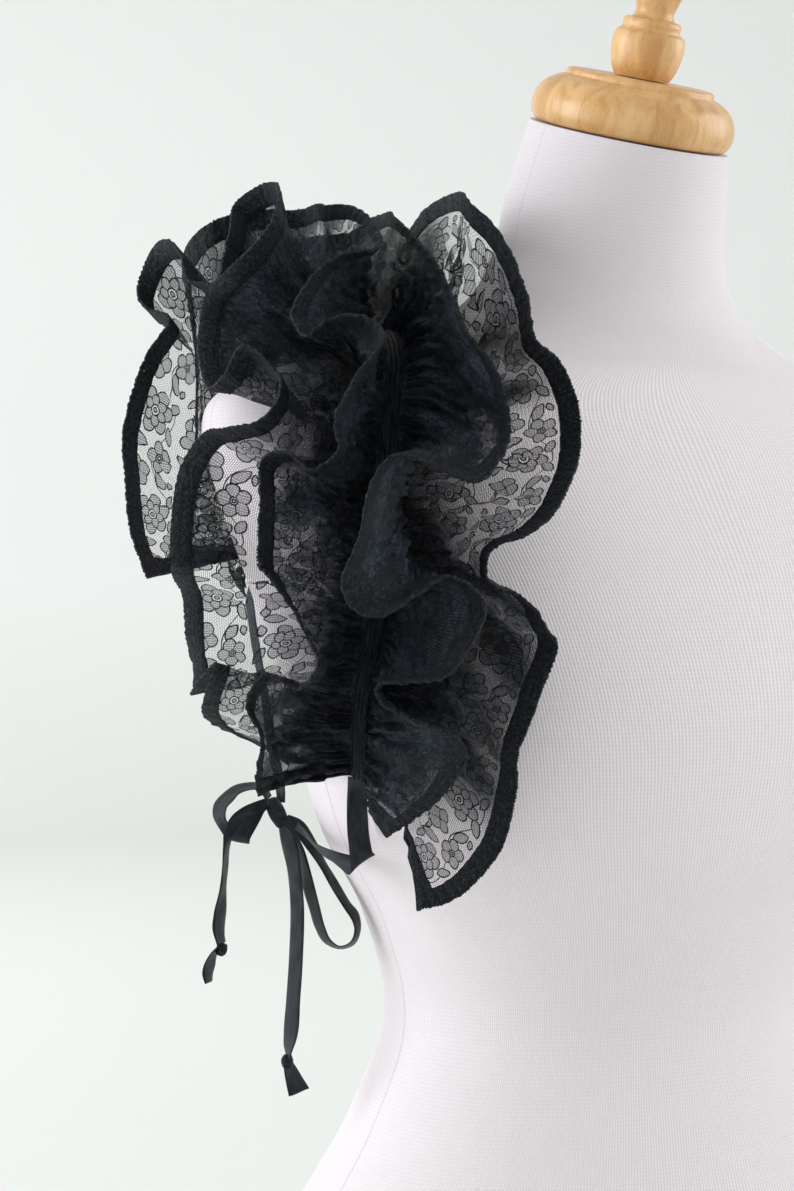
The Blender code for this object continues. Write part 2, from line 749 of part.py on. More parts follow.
def is_clear(pair, trees, gap):
    """Whether the line between two edge points keeps the gap from every knot, outside it."""
    for tree in trees:
        for share in (0, 0.25, 0.5, 0.75, 1):
            point = pair[0].lerp(pair[1], share)
            seat, out, _, distance = tree.find_nearest(point)
            if distance < gap or (point - seat).dot(out) < 0:
                return False
    return True


def build_ribbon(name, start, table, trees, material):
    """A stretch of ribbon that ends just short of the knots it goes into."""
    pairs = [pair for pair in ribbon_edges(table)
             if is_clear(pair, trees, KNOT_GAP)]
    steps = max(round(len(pairs) * TRIM_STEP / RIBBON_STEP), 3)
    rows = start + [pairs[round(at)] for at in np.linspace(0, len(pairs) - 1, steps + 1)]
    return wall(name, np.array(rows), RIBBON_WALL, material)


def build_knot(name, knot, material):
    """A pulled-tight knot: a rounded block, tilted in the bow's plane."""
    mesh = bpy.data.meshes.new(name)
    size = KNOT_CAGE * MM * Vector((knot.width_mm, knot.depth_mm, knot.height_mm))
    cage = bmesh.new()
    bmesh.ops.create_cube(cage, size=1.0)
    bmesh.ops.scale(cage, vec=size, verts=cage.verts)
    cage.to_mesh(mesh)
    cage.free()
    mesh.shade_smooth()
    piece = place_object(name, mesh, material)
    rounding = piece.modifiers.new("rounding", "SUBSURF")
    rounding.levels = rounding.render_levels = 2
    facing = Matrix((BOW_RIGHT, -BOW_TOWARD, Vector((0, 0, 1)))).transposed().to_4x4()
    piece.matrix_world = (Matrix.Translation(beside_bow(knot.right_mm, knot.up_mm, knot.toward_mm))
                          @ facing @ Matrix.Rotation(math.radians(knot.tilt_deg), 4, "Y").inverted())
    return piece


def skin_tree(piece):
    """The finished surface of a piece, for finding the nearest place on it."""
    bpy.context.view_layer.update()
    graph = bpy.context.evaluated_depsgraph_get()
    mesh = piece.evaluated_get(graph).to_mesh()
    place = piece.matrix_world
    tree = BVHTree.FromPolygons([place @ v.co for v in mesh.vertices],
                                [tuple(p.vertices) for p in mesh.polygons])
    piece.evaluated_get(graph).to_mesh_clear()
    return tree


def build_tie(spine, material):
    """The tie ribbon: its two runs from the casing, the bow, and the knotted tails."""
    knot = skin_tree(build_knot("bow_knot", BOW_KNOT, material))
    short = skin_tree(build_knot("tail_short_knot", TAIL_SHORT_KNOT, material))
    long = skin_tree(build_knot("tail_long_knot", TAIL_LONG_KNOT, material))
    for name, table, trees in (("bow_loop_left", BOW_LOOP_LEFT, (knot,)),
                               ("bow_loop_right", BOW_LOOP_RIGHT, (knot,)),
                               ("tail_short", TAIL_SHORT, (knot, short)),
                               ("tail_long", TAIL_LONG, (knot, long)),
                               ("tail_short_end", TAIL_SHORT_END, (short,)),
                               ("tail_long_end", TAIL_LONG_END, (long,))):
        build_ribbon(name, [], table, trees, material)
    for name, table, at_back in (("ribbon_front", RIBBON_FRONT, False),
                                 ("ribbon_back", RIBBON_BACK, True)):
        start = [spine.casing_edges(at_back, gap) for gap in (2 * SEAT_GAP, RIBBON_STEP)]
        build_ribbon(name, start, table, (knot,), material)


# ---------------------------------------------------------------- scene helpers
def finish(name, colour, roughness, metallic=0.0):
    """A material with one Principled BSDF."""
    material = bpy.data.materials.new(name)
    material.use_nodes = True
    shader = material.node_tree.nodes["Principled BSDF"]
    shader.inputs["Base Color"].default_value = (*colour, 1.0)
    shader.inputs["Roughness"].default_value = roughness
    shader.inputs["Metallic"].default_value = metallic
    return material


def place_object(name, mesh, material):
    """A new object of the mesh in the part's collection."""
    piece = bpy.data.objects.new(name, mesh)
    mesh.materials.append(material)
    bpy.data.collections[COLLECTION].objects.link(piece)
    return piece


def clear_scene():
    """Empties the file's scene and gives the part its collection."""
    for old in list(bpy.data.objects):
        bpy.data.objects.remove(old, do_unlink=True)
    bpy.context.scene.collection.children.link(bpy.data.collections.new(COLLECTION))


def main():
    clear_scene()
    rings = form_rings()
    build_form(rings)
    form_tree = skin_tree(bpy.data.objects["form_torso"])
    spine = Spine(form_tree)
    lace = finish("black_lace", (0.02, 0.02, 0.023), 0.7)
    satin = finish("black_satin", (0.03, 0.033, 0.037), 0.4)
    for strip in STRIPS:
        for side_name in ("arm", "neck"):
            build_frill(spine, strip, side_name, form_tree, lace)
    build_casing(spine, satin)
    build_tie(spine, satin)


if __name__ == "__main__":
    main()
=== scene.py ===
"""The looks of a gathered black lace ruffle collar, tied over one shoulder of a jersey dress form.

Every size is in metres unless its name ends in _mm or _deg. The form faces -Y and stands on
z = 0. The collar is two strips of lace gathered along their middle, one over the other, under a
narrow satin casing. The casing's line climbs the front of the form's right armhole, crosses the
shoulder and runs down behind it, and a ribbon from its two ends is tied under the arm in a bow.
"""

import logging
import math
from dataclasses import dataclass
from enum import Enum
from typing import NamedTuple

import bmesh
import bpy
import numpy as np
from bpy.types import Material, NodeSocket, NodeTree, Object
from mathutils import Matrix, Vector
from mathutils.bvhtree import BVHTree

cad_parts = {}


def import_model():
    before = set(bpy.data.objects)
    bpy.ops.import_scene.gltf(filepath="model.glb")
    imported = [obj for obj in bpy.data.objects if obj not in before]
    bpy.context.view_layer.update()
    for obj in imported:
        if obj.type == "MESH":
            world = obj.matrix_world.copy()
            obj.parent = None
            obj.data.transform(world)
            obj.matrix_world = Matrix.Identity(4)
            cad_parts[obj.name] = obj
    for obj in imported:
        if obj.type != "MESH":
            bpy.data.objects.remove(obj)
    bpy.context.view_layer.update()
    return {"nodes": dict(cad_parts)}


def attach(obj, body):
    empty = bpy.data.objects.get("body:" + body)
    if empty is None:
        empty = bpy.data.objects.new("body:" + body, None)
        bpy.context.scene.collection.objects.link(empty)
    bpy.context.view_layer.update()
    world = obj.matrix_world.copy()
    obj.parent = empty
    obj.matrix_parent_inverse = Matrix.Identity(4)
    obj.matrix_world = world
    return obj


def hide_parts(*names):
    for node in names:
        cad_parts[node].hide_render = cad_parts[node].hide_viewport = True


LOG = logging.getLogger("lace_ruffle_collar")
MM = 0.001
BODY = "root"
FLAT = "flat"  # the UV map that says where each point lies on the flat stuff
WANDER_WAVES = 5
WANDER_SPREAD = (0.6, 1.7)  # the fewest and the most crests they have to one of the usual wave
WANDER_SIZE = 1 / 3
TINY = 1e-12
GATHERED = "gathered"  # the attribute that says how far gathers close the net at each point
Sum = tuple[str | float, ...]  # its result's name, the operation, and what goes in
MIX_A, MIX_B = 6, 7  # a colour Mix node's two colour sockets
MIX = {"data_type": "RGBA", "output": 2}  # its kind, and the socket that the result comes from


class Slot(Enum):
    """The record's material slots."""

    JERSEY = "jersey"
    WOOD = "wood"
    LACE = "lace"
    SATIN = "satin"


class Side(Enum):
    """The side of the gathered line that a frill stands on."""

    ARM = -1
    NECK = 1


# ---------------------------------------------------------------- curves and meshes
def table(kind: type, *rows: tuple[float, ...]) -> tuple:
    """The rows of a table, each made into its own kind."""
    return tuple(kind(*row) for row in rows)


def smooth_rows(keys: np.ndarray, rows: np.ndarray, at: np.ndarray) -> np.ndarray:
    """Values between the rows of a table, on a smooth curve through all of them.

    Args:
        keys: Where each row stands, rising.
        rows: The table, one row for each key.
        at: The places that values are wanted for.

    Returns:
        One row of values for each place.
    """
    keys, rows, at = np.asarray(keys, float), np.asarray(rows, float), np.asarray(at, float)
    steps = np.diff(keys)[:, None]
    rises = np.diff(rows, axis=0) / steps
    slopes = np.vstack([rises[:1], (rises[:-1] * steps[1:] + rises[1:] * steps[:-1])
                        / (steps[1:] + steps[:-1]), rises[-1:]])
    piece = np.clip(np.searchsorted(keys, at, side="right") - 1, 0, len(keys) - 2)
    gap = (keys[piece + 1] - keys[piece])[:, None]
    t = ((at - keys[piece])[:, None]) / gap
    return ((1 + 2 * t) * (1 - t) ** 2 * rows[piece] + t * (1 - t) ** 2 * gap * slopes[piece]
            + t * t * (3 - 2 * t) * rows[piece + 1] + t * t * (t - 1) * gap * slopes[piece + 1])


def smooth_line(keys: np.ndarray, rows: np.ndarray, count: int) -> np.ndarray:
    """A smooth curve through all the rows of a table, at equal steps of its keys."""
    return smooth_rows(keys, rows, np.linspace(0, keys[-1], count))


def lengths_along(points: np.ndarray) -> np.ndarray:
    """The distance to each point along a line of points."""
    return np.concatenate([[0], np.cumsum(np.linalg.norm(np.diff(points, axis=0), axis=1))])


def read_off(at: np.ndarray, keys: np.ndarray, rows: np.ndarray) -> np.ndarray:
    """The rows of a table read off at some places, on straight lines between its keys."""
    return np.stack([np.interp(at, keys, rows[:, axis]) for axis in range(rows.shape[1])], axis=-1)


def wander(at: np.ndarray, wavelength: float, seed: int) -> np.ndarray:
    """A smooth uneven wave, the same each run.

    Args:
        at: Where values are wanted.
        wavelength: The usual distance between two of its crests.
        seed: Which wave it is.

    Returns:
        Values from about -1 to 1, one for each place.
    """
    rng = np.random.default_rng(seed)
    turns = 2 * math.pi * rng.uniform(*WANDER_SPREAD, WANDER_WAVES) / wavelength
    phases = rng.uniform(0, 2 * math.pi, WANDER_WAVES)
    return WANDER_SIZE * sum(np.sin(turn * at + phase) for turn, phase in zip(turns, phases))


class Wave(NamedTuple):
    """An uneven wave: how high it is, how long, and what is added to its piece's seed."""

    height: float
    length: float
    seed: int

    def at(self, places: np.ndarray, seed: int = 0) -> np.ndarray:
        """The wave's height at some places, for the piece that has the seed."""
        return self.height * wander(places, self.length, seed + self.seed)


def ramp(values: np.ndarray, start: float, end: float) -> np.ndarray:
    """How far each value is on its way from a start to an end, from 0 to 1."""
    return np.clip((values - start) / (end - start), 0, 1)


def squared_off(values: np.ndarray, power: float) -> np.ndarray:
    """Each value to a power under 1 with its sign kept, which makes a round outline squarer."""
    return np.copysign(np.abs(values) ** power, values)


def grid_normals(points: np.ndarray) -> np.ndarray:
    """The unit normal at each point of a grid of points."""
    normal = np.cross(np.gradient(points, axis=0), np.gradient(points, axis=1))
    return normal / np.maximum(np.linalg.norm(normal, axis=2), TINY)[..., None]


def grid_faces(rows: int, columns: int, keep: np.ndarray | None = None) -> list[tuple[int, ...]]:
    """The four-sided faces of a grid of points.

    Args:
        rows: How many rows of points it has.
        columns: How many points a row has.
        keep: Which of its faces are wanted, or None for all.

    Returns:
        The faces, as tuples of point numbers.
    """
    return [(r * columns + c, r * columns + c + 1, (r + 1) * columns + c + 1, (r + 1) * columns + c)
            for r in range(rows - 1) for c in range(columns - 1) if keep is None or keep[r, c]]


def ring_faces(rings: int, sides: int, capped: bool = True) -> list[tuple[int, ...]]:
    """The faces of a tube of closed rings of points, with a flat end below.

    Args:
        rings: How many rings it has.
        sides: How many points a ring has.
        capped: Whether it has a flat end above too.

    Returns:
        The faces, as tuples of point numbers.
    """
    faces = [(low * sides + side, low * sides + (side + 1) % sides,
              (low + 1) * sides + (side + 1) % sides, (low + 1) * sides + side)
             for low in range(rings - 1) for side in range(sides)]
    faces.append(tuple(reversed(range(sides))))
    if capped:
        faces.append(tuple(range((rings - 1) * sides, rings * sides)))
    return faces


def spun(heights: np.ndarray, radii: np.ndarray, sides: int) -> np.ndarray:
    """An outline spun about the upright axis.

    Args:
        heights: The height of each of its points.
        radii: Their distances from the axis.
        sides: How many points a ring has.

    Returns:
        A ring of points for each point of the outline.
    """
    turn = 2 * math.pi * np.arange(sides) / sides
    return np.stack([np.outer(radii, np.cos(turn)), np.outer(radii, np.sin(turn)),
                     np.repeat(heights[:, None], sides, axis=1)], axis=2)


def make_piece(name: str, points: np.ndarray, faces: list[tuple[int, ...]],
               finish: Material, slot: Slot | None = None,
               flat: np.ndarray | None = None) -> Object:
    """A smooth mesh piece, which rides on the part's one body if it has a slot.

    Args:
        name: The piece's name.
        points: Its vertices, in place.
        faces: Its faces, as tuples of vertex numbers.
        finish: Its material.
        slot: The record's slot that the finish stands for.
        flat: Where each vertex, or each face's corner, lies on the flat stuff, in metres.

    Returns:
        The new object.
    """
    mesh = bpy.data.meshes.new(name)
    mesh.from_pydata(np.asarray(points).reshape(-1, 3).tolist(), [], faces)
    if flat is not None:
        corners = np.zeros(len(mesh.loops), dtype=int)
        mesh.loops.foreach_get("vertex_index", corners)
        flat = flat.reshape(-1, 2)
        if len(flat) == len(mesh.vertices):
            flat = flat[corners]
        mesh.uv_layers.new(name=FLAT).data.foreach_set("uv", flat.astype(np.float32).ravel())
    mesh.shade_smooth()
    mesh.materials.append(finish)
    piece = bpy.data.objects.new(name, mesh)
    bpy.context.scene.collection.objects.link(piece)
    if slot is not None:
        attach(piece, BODY)
    return piece


def drop_loose(piece: Object) -> None:
    """Removes the points of a piece that no face uses.

    Args:
        piece: The piece.
    """
    shape = bmesh.new()
    shape.from_mesh(piece.data)
    bmesh.ops.delete(shape, geom=[v for v in shape.verts if not v.link_faces], context="VERTS")
    shape.to_mesh(piece.data)
    shape.free()


def thicken(piece: Object, thickness: float) -> None:
    """Gives a sheet a thickness, half of it on each side.

    Args:
        piece: The sheet.
        thickness: Its thickness.
    """
    wall = piece.modifiers.new("thickness", "SOLIDIFY")
    wall.thickness = thickness
    wall.offset = 0


# ---------------------------------------------------------------- finishes
def linear(hex_colour: str) -> tuple[float, float, float, float]:
    """A colour as the shaders take it.

    Args:
        hex_colour: The sRGB colour, such as "#a0b1c2".

    Returns:
        Its linear red, green and blue, and an alpha of 1.
    """
    shares = [int(hex_colour[i:i + 2], 16) / 255 for i in (1, 3, 5)]
    return (*(s / 12.92 if s <= 0.04045 else ((s + 0.055) / 1.055) ** 2.4 for s in shares), 1.0)


def even_wave(name: str, source: str, length: float) -> tuple[Sum, Sum]:
    """The two sums of an even wave.

    Args:
        name: The wave's name.
        source: The name of the measure that it runs along.
        length: The distance between two of its crests.

    Returns:
        The sums.
    """
    return ((f"{name} turn", "MULTIPLY", source, 2 * math.pi / length),
            (name, "COSINE", f"{name} turn"))


class Pattern:
    """A material's nodes, with the outputs that are wanted later kept by name."""

    def __init__(self, tree: NodeTree) -> None:
        """Starts with no outputs known."""
        self.tree = tree
        self.known: dict[str, NodeSocket] = {}

    def add(self, name: str, kind: str, inputs: dict | None = None,
            output: int | str | None = 0, **settings: object) -> None:
        """Adds a node with its settings and links, and keeps its output by name.

        Args:
            name: The output's name.
            kind: The node's type, without the word ShaderNode.
            inputs: What goes into its sockets: the name of a known output, an sRGB hex colour, or
                a value.
            output: Which of its outputs is kept, or None.
            **settings: The node's own settings.
        """
        node = self.tree.nodes.new("ShaderNode" + kind)
        for setting, value in settings.items():
            setattr(node, setting, value)
        for socket, value in (inputs or {}).items():
            if not isinstance(value, str):
                node.inputs[socket].default_value = value
            elif value.startswith("#"):
                node.inputs[socket].default_value = linear(value)
            else:
                self.tree.links.new(self.known[value], node.inputs[socket])
        if output is not None:
            self.known[name] = node.outputs[output]

    def sum_up(self, *sums: Sum) -> None:
        """Adds the nodes of some sums, one after another, each of which may use those before."""
        for result, operation, *inputs in sums:
            self.add(result, "Math", dict(enumerate(inputs)), operation=operation)

    def lay_cloth(self) -> None:
        """Lays the flat cloth, with the place on it kept as "in mm"."""
        self.add("flat", "UVMap", uv_map=FLAT)
        self.add("in mm", "VectorMath", {0: "flat", "Scale": 1 / MM}, operation="SCALE")


class Finish:
    """A finish, whose own class lays its pattern and says what goes into its one shader."""

    name: str

    def lay(self, pattern: Pattern) -> dict[str, object]:
        """The finish's own pattern.

        Args:
            pattern: The nodes that it is laid in.

        Returns:
            The shader's inputs.
        """
        raise NotImplementedError

    def material(self) -> Material:
        """The finish as a material.

        Returns:
            The material, with one shader.
        """
        material = bpy.data.materials.new(self.name)
        material.use_nodes = True
        material.node_tree.nodes.clear()
        pattern = Pattern(material.node_tree)
        pattern.add("shader", "BsdfPrincipled", self.lay(pattern))
        pattern.add("surface", "OutputMaterial", {"Surface": "shader"}, output=None)
        return material


@dataclass(frozen=True)
class RibbedJersey(Finish):
    """White cotton jersey, knitted in fine ribs and stretched on the form: matt, soft and even."""

    name: str = "ribbed_cotton_jersey"
    colour: str = "#f4eff2"
    # painted shade: the pinkish grey put into the rib grooves and along the side seams
    groove_shade_colour: str = "#c9b8be"
    rib_mm: float = 1.95  # the ribs of such jersey are finer, too fine to show at this size
    course_mm: float = 2.1
    course_depth: float = 0.25
    fluff_mm: float = 3.846
    fluff_depth: float = 0.8
    around: float = 1.2  # the cover's flat width; its two side seams are half of that apart
    seam_mm: float = 1.5
    seam_depth: float = 2.5

    def lay(self, pattern: Pattern) -> dict[str, object]:
        """The jersey's ribs and stitches, and the form's two side seams, with painted shade
        darkening the grooves between the ribs and along the seams.

        Args:
            pattern: The nodes that it is laid in.

        Returns:
            The shader's inputs.
        """
        pattern.add("flat", "UVMap", uv_map=FLAT)
        for axis in "XY":
            pattern.add(axis, "SeparateXYZ", {0: "flat"}, output=axis)
        pattern.add("fluff", "TexNoise", {
            "Vector": "flat", "Scale": 1 / (self.fluff_mm * MM), "Detail": 3.0})
        pattern.sum_up(
            *even_wave("rib", "X", self.rib_mm * MM),
            *even_wave("course", "Y", self.course_mm * MM),
            ("stitch", "MULTIPLY_ADD", "course", self.course_depth, "rib"),
            ("knit", "MULTIPLY_ADD", "fluff", self.fluff_depth, "stitch"),
            ("off seam", "PINGPONG", "X", self.around / 4))  # 0 at each half of the width
        pattern.add("seam", "MapRange", {
            "Value": "off seam", "From Max": self.seam_mm * MM, "To Min": 1.0, "To Max": 0.0},
            interpolation_type="SMOOTHSTEP")
        pattern.sum_up(("height", "MULTIPLY_ADD", "seam", -self.seam_depth, "knit"))
        # painted shade: the lower the knit and the seams, the more of the groove shade colour goes
        # in
        pattern.add("shade", "MapRange", {
            "Value": "height", "From Min": -3.0, "From Max": 1.6, "To Min": 0.85, "To Max": 0.0})
        pattern.add("colour", "Mix", {
            0: "shade", MIX_A: self.colour, MIX_B: self.groove_shade_colour}, **MIX)
        pattern.add("bump", "Bump", {"Height": "height", "Strength": 0.4, "Distance": 0.2 * MM})
        return {"Base Color": "colour", "Roughness": 0.85, "Normal": "bump", "Sheen Weight": 0.2,
                "Sheen Roughness": 0.5, "Specular IOR Level": 0.25}


@dataclass(frozen=True)
class VarnishedBeech(Finish):
    """Beech, turned, sanded and varnished: honey-coloured, with faint grain and short flecks."""

    name: str = "varnished_beech"
    light: str = "#e6bb80"
    dark: str = "#cc9656"
    fleck: str = "#8a5526"
    ring_mm: float = 9.0
    grain_mm: float = 0.714
    grain_share: float = 0.35
    fleck_mm: float = 2.381
    grain_deg: tuple[float, float, float] = (20.0, 0.0, 0.0)
    stretch: tuple[float, float, float] = (1.0, 1.0, 0.14)

    def lay(self, pattern: Pattern) -> dict[str, object]:
        """The wood's rings, grain and flecks under one coat of varnish.

        Args:
            pattern: The nodes that it is laid in.

        Returns:
            The shader's inputs.
        """
        pattern.add("place", "TexCoord", output="Object")
        pattern.add("turned", "Mapping", {
            "Vector": "place", "Rotation": [math.radians(-turn) for turn in self.grain_deg]})
        pattern.add("along", "Mapping", {"Vector": "turned", "Scale": self.stretch})
        pattern.add("ring", "TexNoise", {
            "Vector": "along", "Scale": 1 / (self.ring_mm * MM), "Detail": 2.0, "Distortion": 0.6})
        pattern.add("grain", "TexNoise", {
            "Vector": "along", "Scale": 1 / (self.grain_mm * MM), "Detail": 3.0})
        pattern.sum_up(("figure", "MULTIPLY_ADD", "grain", self.grain_share, "ring"))
        pattern.add("share", "MapRange", {"Value": "figure", "From Min": 0.45, "From Max": 0.95},
                    interpolation_type="SMOOTHSTEP")
        pattern.add("plain", "Mix", {0: "share", MIX_A: self.light, MIX_B: self.dark}, **MIX)
        pattern.add("off fleck", "TexVoronoi", {
            "Vector": "along", "Scale": 1 / (self.fleck_mm * MM)}, output="Distance")
        pattern.add("fleck", "MapRange", {
            "Value": "off fleck", "From Min": 0.05, "From Max": 0.16, "To Min": 0.35,
            "To Max": 0.0})
        pattern.add("colour", "Mix", {0: "fleck", MIX_A: "plain", MIX_B: self.fleck}, **MIX)
        pattern.add("bump", "Bump", {"Height": "figure", "Strength": 0.06, "Distance": 0.1 * MM})
        return {"Base Color": "colour", "Roughness": 0.38, "Normal": "bump", "Coat Weight": 0.35,
                "Coat Roughness": 0.28, "Specular IOR Level": 0.45}


class Leaf(NamedTuple):
    """A leaf or petal of two arcs: its middle, half its length and width, and its turn."""

    along_mm: float
    across_mm: float
    half_length_mm: float
    half_width_mm: float
    turn_deg: float = 0.0


class Flower(NamedTuple):
    """A flower in the lace's repeat: its middle and turn, and one petal of each ring, front first.

    The eye is woven, and the net is left open round it as far as the clear radius.
    """

    along_mm: float
    across_mm: float
    turn_deg: float
    petals: int
    rings: tuple[Leaf, ...]
    clear_mm: float
    eye_mm: float


@dataclass(frozen=True)
class FloralLace(Finish):
    """Black polyester lace on hexagonal net: see-through net, woven figures, corded outlines.

    The threads are black with a slight cool sheen, and patches of painted sheen in a cool
    blue-grey lie over them. Figures are a denser weave than the net and let some light
    through; the cord that outlines them lets none.
    """

    name: str = "black_polyester_lace"
    cord_colour: str = "#040508"
    thread_colour: str = "#0c0e13"
    # painted sheen: the cool blue-grey that the black threads are lightened to in patches
    painted_sheen_colour: str = "#465262"
    sheen_colour: str = "#9fb0c2"
    repeat_mm: tuple[float, float] = (56.0, 38.0)
    half_drop: float = 0.5
    flowers: tuple[Flower, ...] = (
        Flower(-13.4, 0.0, 12.0, 6, (Leaf(5.2, 0.0, 3.0, 2.8), Leaf(8.2, 0.0, 4.2, 4.0)), 2.9, 1.3),
        Flower(8.8, 8.6, 50.0, 5, (Leaf(5.0, 0.0, 3.7, 3.3),), 1.9, 0.9),
        Flower(18.6, -7.8, 20.0, 4, (Leaf(4.2, 0.0, 3.9, 3.8),), 0.0, 0.5),
    )
    leaves: tuple[Leaf, ...] = (
        Leaf(3.4, -7.6, 6.4, 2.9, 80.0),
        Leaf(8.6, -12.2, 4.6, 2.2, 18.0),
        Leaf(21.6, 7.8, 5.8, 2.9, 36.0),
        Leaf(23.2, 14.4, 2.8, 1.6, -20.0),
        Leaf(-21.4, 13.0, 5.2, 2.6, 150.0),
        Leaf(-4.8, 13.4, 4.8, 2.4, 22.0),
        Leaf(-21.6, -13.8, 4.8, 2.4, 24.0),
        Leaf(-5.6, -14.6, 3.4, 1.9, -12.0),
    )
    vine_mm: tuple[float, float] = (8.6, 6.4)  # its middle line, and how far it swings from it
    cord_mm: float = 0.8
    petal_cord: float = 0.7  # the cord between two petals, as a share of the outline's
    vine_cord: float = 0.8
    edge_mm: float = 0.12
    mesh_mm: tuple[float, float] = (1.7, 1.0)  # the net's meshes, half as large again as real ones
    net_thread_mm: float = 0.17
    net_cover: float = 0.7
    weave_mm: float = 1.3  # the figures' real weave is finer, too fine to show at this size
    weft: float = 0.35  # how much its weft shows, as a share of its warp
    figure_cover: tuple[float, float] = (0.42, 0.8)
    slub_mm: float = 1.429
    slubs: float = 0.25
    pinhole_mm: float = 1.15
    drift_mm: float = 4.545
    uneven_mm: float = 1.5  # how far that drift pulls the figures out of true
    # where the painted sheen lies: fine patches, which also crumple the relief, broad patches, and
    # the figures' weave
    patch_mm: float = 3.333
    broad_sheen_mm: float = 28.57
    broad_sheen: float = 0.6
    woven: float = 0.12
    patch_depth: float = 5.0

    def lay(self, pattern: Pattern) -> dict[str, object]:
        """The lace, whose repeat is laid on the cloth by its flat coordinates.

        Args:
            pattern: The nodes that it is laid in.

        Returns:
            The shader's inputs.
        """
        pattern.lay_cloth()
        self._lay_repeat(pattern)
        self._lay_figures(pattern)
        self._lay_threads(pattern)
        self._lay_colour(pattern)
        pattern.sum_up(("relief", "MULTIPLY_ADD", "patches", self.patch_depth, "cover"))
        pattern.add("bump", "Bump", {"Height": "relief", "Strength": 0.8, "Distance": 0.35 * MM})
        return {"Base Color": "colour", "Roughness": 0.6, "Normal": "bump", "Alpha": "closed",
                "Specular IOR Level": 0.3, "Sheen Weight": 0.1, "Sheen Roughness": 0.35,
                "Sheen Tint": self.sheen_colour}

    def _lay_repeat(self, pattern: Pattern) -> None:
        """The place in the half-drop repeat, in mm from its middle.

        It is kept twice: as "u" and "v", and as "place", drawn slightly out of true as lace is.

        Args:
            pattern: The lace's pattern.
        """
        for axis in "XY":
            pattern.add(axis, "SeparateXYZ", {0: "in mm"}, output=axis)
        wide, high = self.repeat_mm
        pattern.sum_up(
            ("row", "DIVIDE", "Y", high),
            ("row number", "FLOOR", "row"),
            ("column", "DIVIDE", "X", wide),
            ("dropped", "MULTIPLY_ADD", "row number", self.half_drop, "column"),
            ("share u", "FRACT", "dropped"),
            ("share v", "FRACT", "row"),
            ("u", "MULTIPLY_ADD", "share u", wide, -wide / 2),
            ("v", "MULTIPLY_ADD", "share v", high, -high / 2))
        pattern.add("true", "CombineXYZ", {0: "u", 1: "v"})
        pattern.add("drift", "TexNoise", {
            "Vector": "in mm", "Scale": 1 / self.drift_mm, "Detail": 4.0, "Roughness": 0.6},
            output="Color")
        pattern.add("pull", "VectorMath", {0: "drift", 1: (0.5, 0.5, 0.5)}, operation="SUBTRACT")
        pattern.add("place", "VectorMath", {
            0: "pull", 1: (self.uneven_mm, self.uneven_mm, 0.0), 2: "true"},
            operation="MULTIPLY_ADD")

    @staticmethod
    def _lay_leaf(pattern: Pattern, name: str, place: str, leaf: Leaf) -> None:
        """The distance outside a leaf, in millimetres; less than 0 inside it.

        Args:
            pattern: The lace's pattern.
            name: The name that the distance is kept by.
            place: The name of the place that it is measured from.
            leaf: The leaf.
        """
        long, wide = leaf.half_length_mm, leaf.half_width_mm
        arc = (long ** 2 + wide ** 2) / (2 * wide)
        pattern.add("in leaf", "Mapping", {
            "Vector": place, "Location": (leaf.along_mm, leaf.across_mm, 0),
            "Rotation": (0, 0, math.radians(leaf.turn_deg))}, vector_type="TEXTURE")
        pattern.add("folded", "VectorMath", {0: "in leaf"}, operation="ABSOLUTE")
        pattern.add("from arc", "VectorMath", {0: "folded", 1: (0.0, arc - wide, 0.0)},
                    operation="ADD")
        pattern.add("reach", "VectorMath", {0: "from arc"}, output="Value", operation="LENGTH")
        pattern.sum_up((name, "SUBTRACT", "reach", arc))

    def _lay_petals(self, pattern: Pattern, name: str, petals: int, petal: Leaf,
                    turned: float) -> None:
        """A ring's distance and its cords, all from one petal folded over about the middle.

        Args:
            pattern: The lace's pattern.
            name: The ring's name.
            petals: How many petals it has.
            petal: One petal, on the ring's first spoke.
            turned: How far the ring is turned, in radians.
        """
        half, half_cord = math.pi / petals, self.cord_mm / 2
        pattern.sum_up(
            ("turned", "ADD", "angle", turned),
            ("fold", "PINGPONG", "turned", half),
            ("fold cos", "COSINE", "fold"),
            ("fold sin", "SINE", "fold"),
            ("px", "MULTIPLY", "fold cos", "r"),
            ("py", "MULTIPLY", "fold sin", "r"),
            ("to side", "SUBTRACT", half, "fold"),
            ("side sin", "SINE", "to side"),
            ("off side", "MULTIPLY", "side sin", "r"))
        pattern.add("in petal", "CombineXYZ", {0: "px", 1: "py"})
        self._lay_leaf(pattern, name, "in petal", petal)
        pattern.sum_up(
            ("off edge", "ABSOLUTE", name),
            ("edge cord", "SUBTRACT", "off edge", half_cord),
            ("side cord", "SUBTRACT", "off side", half_cord * self.petal_cord),
            ("seam", "MAXIMUM", "side cord", name),
            (f"{name} cord", "MINIMUM", "edge cord", "seam"))

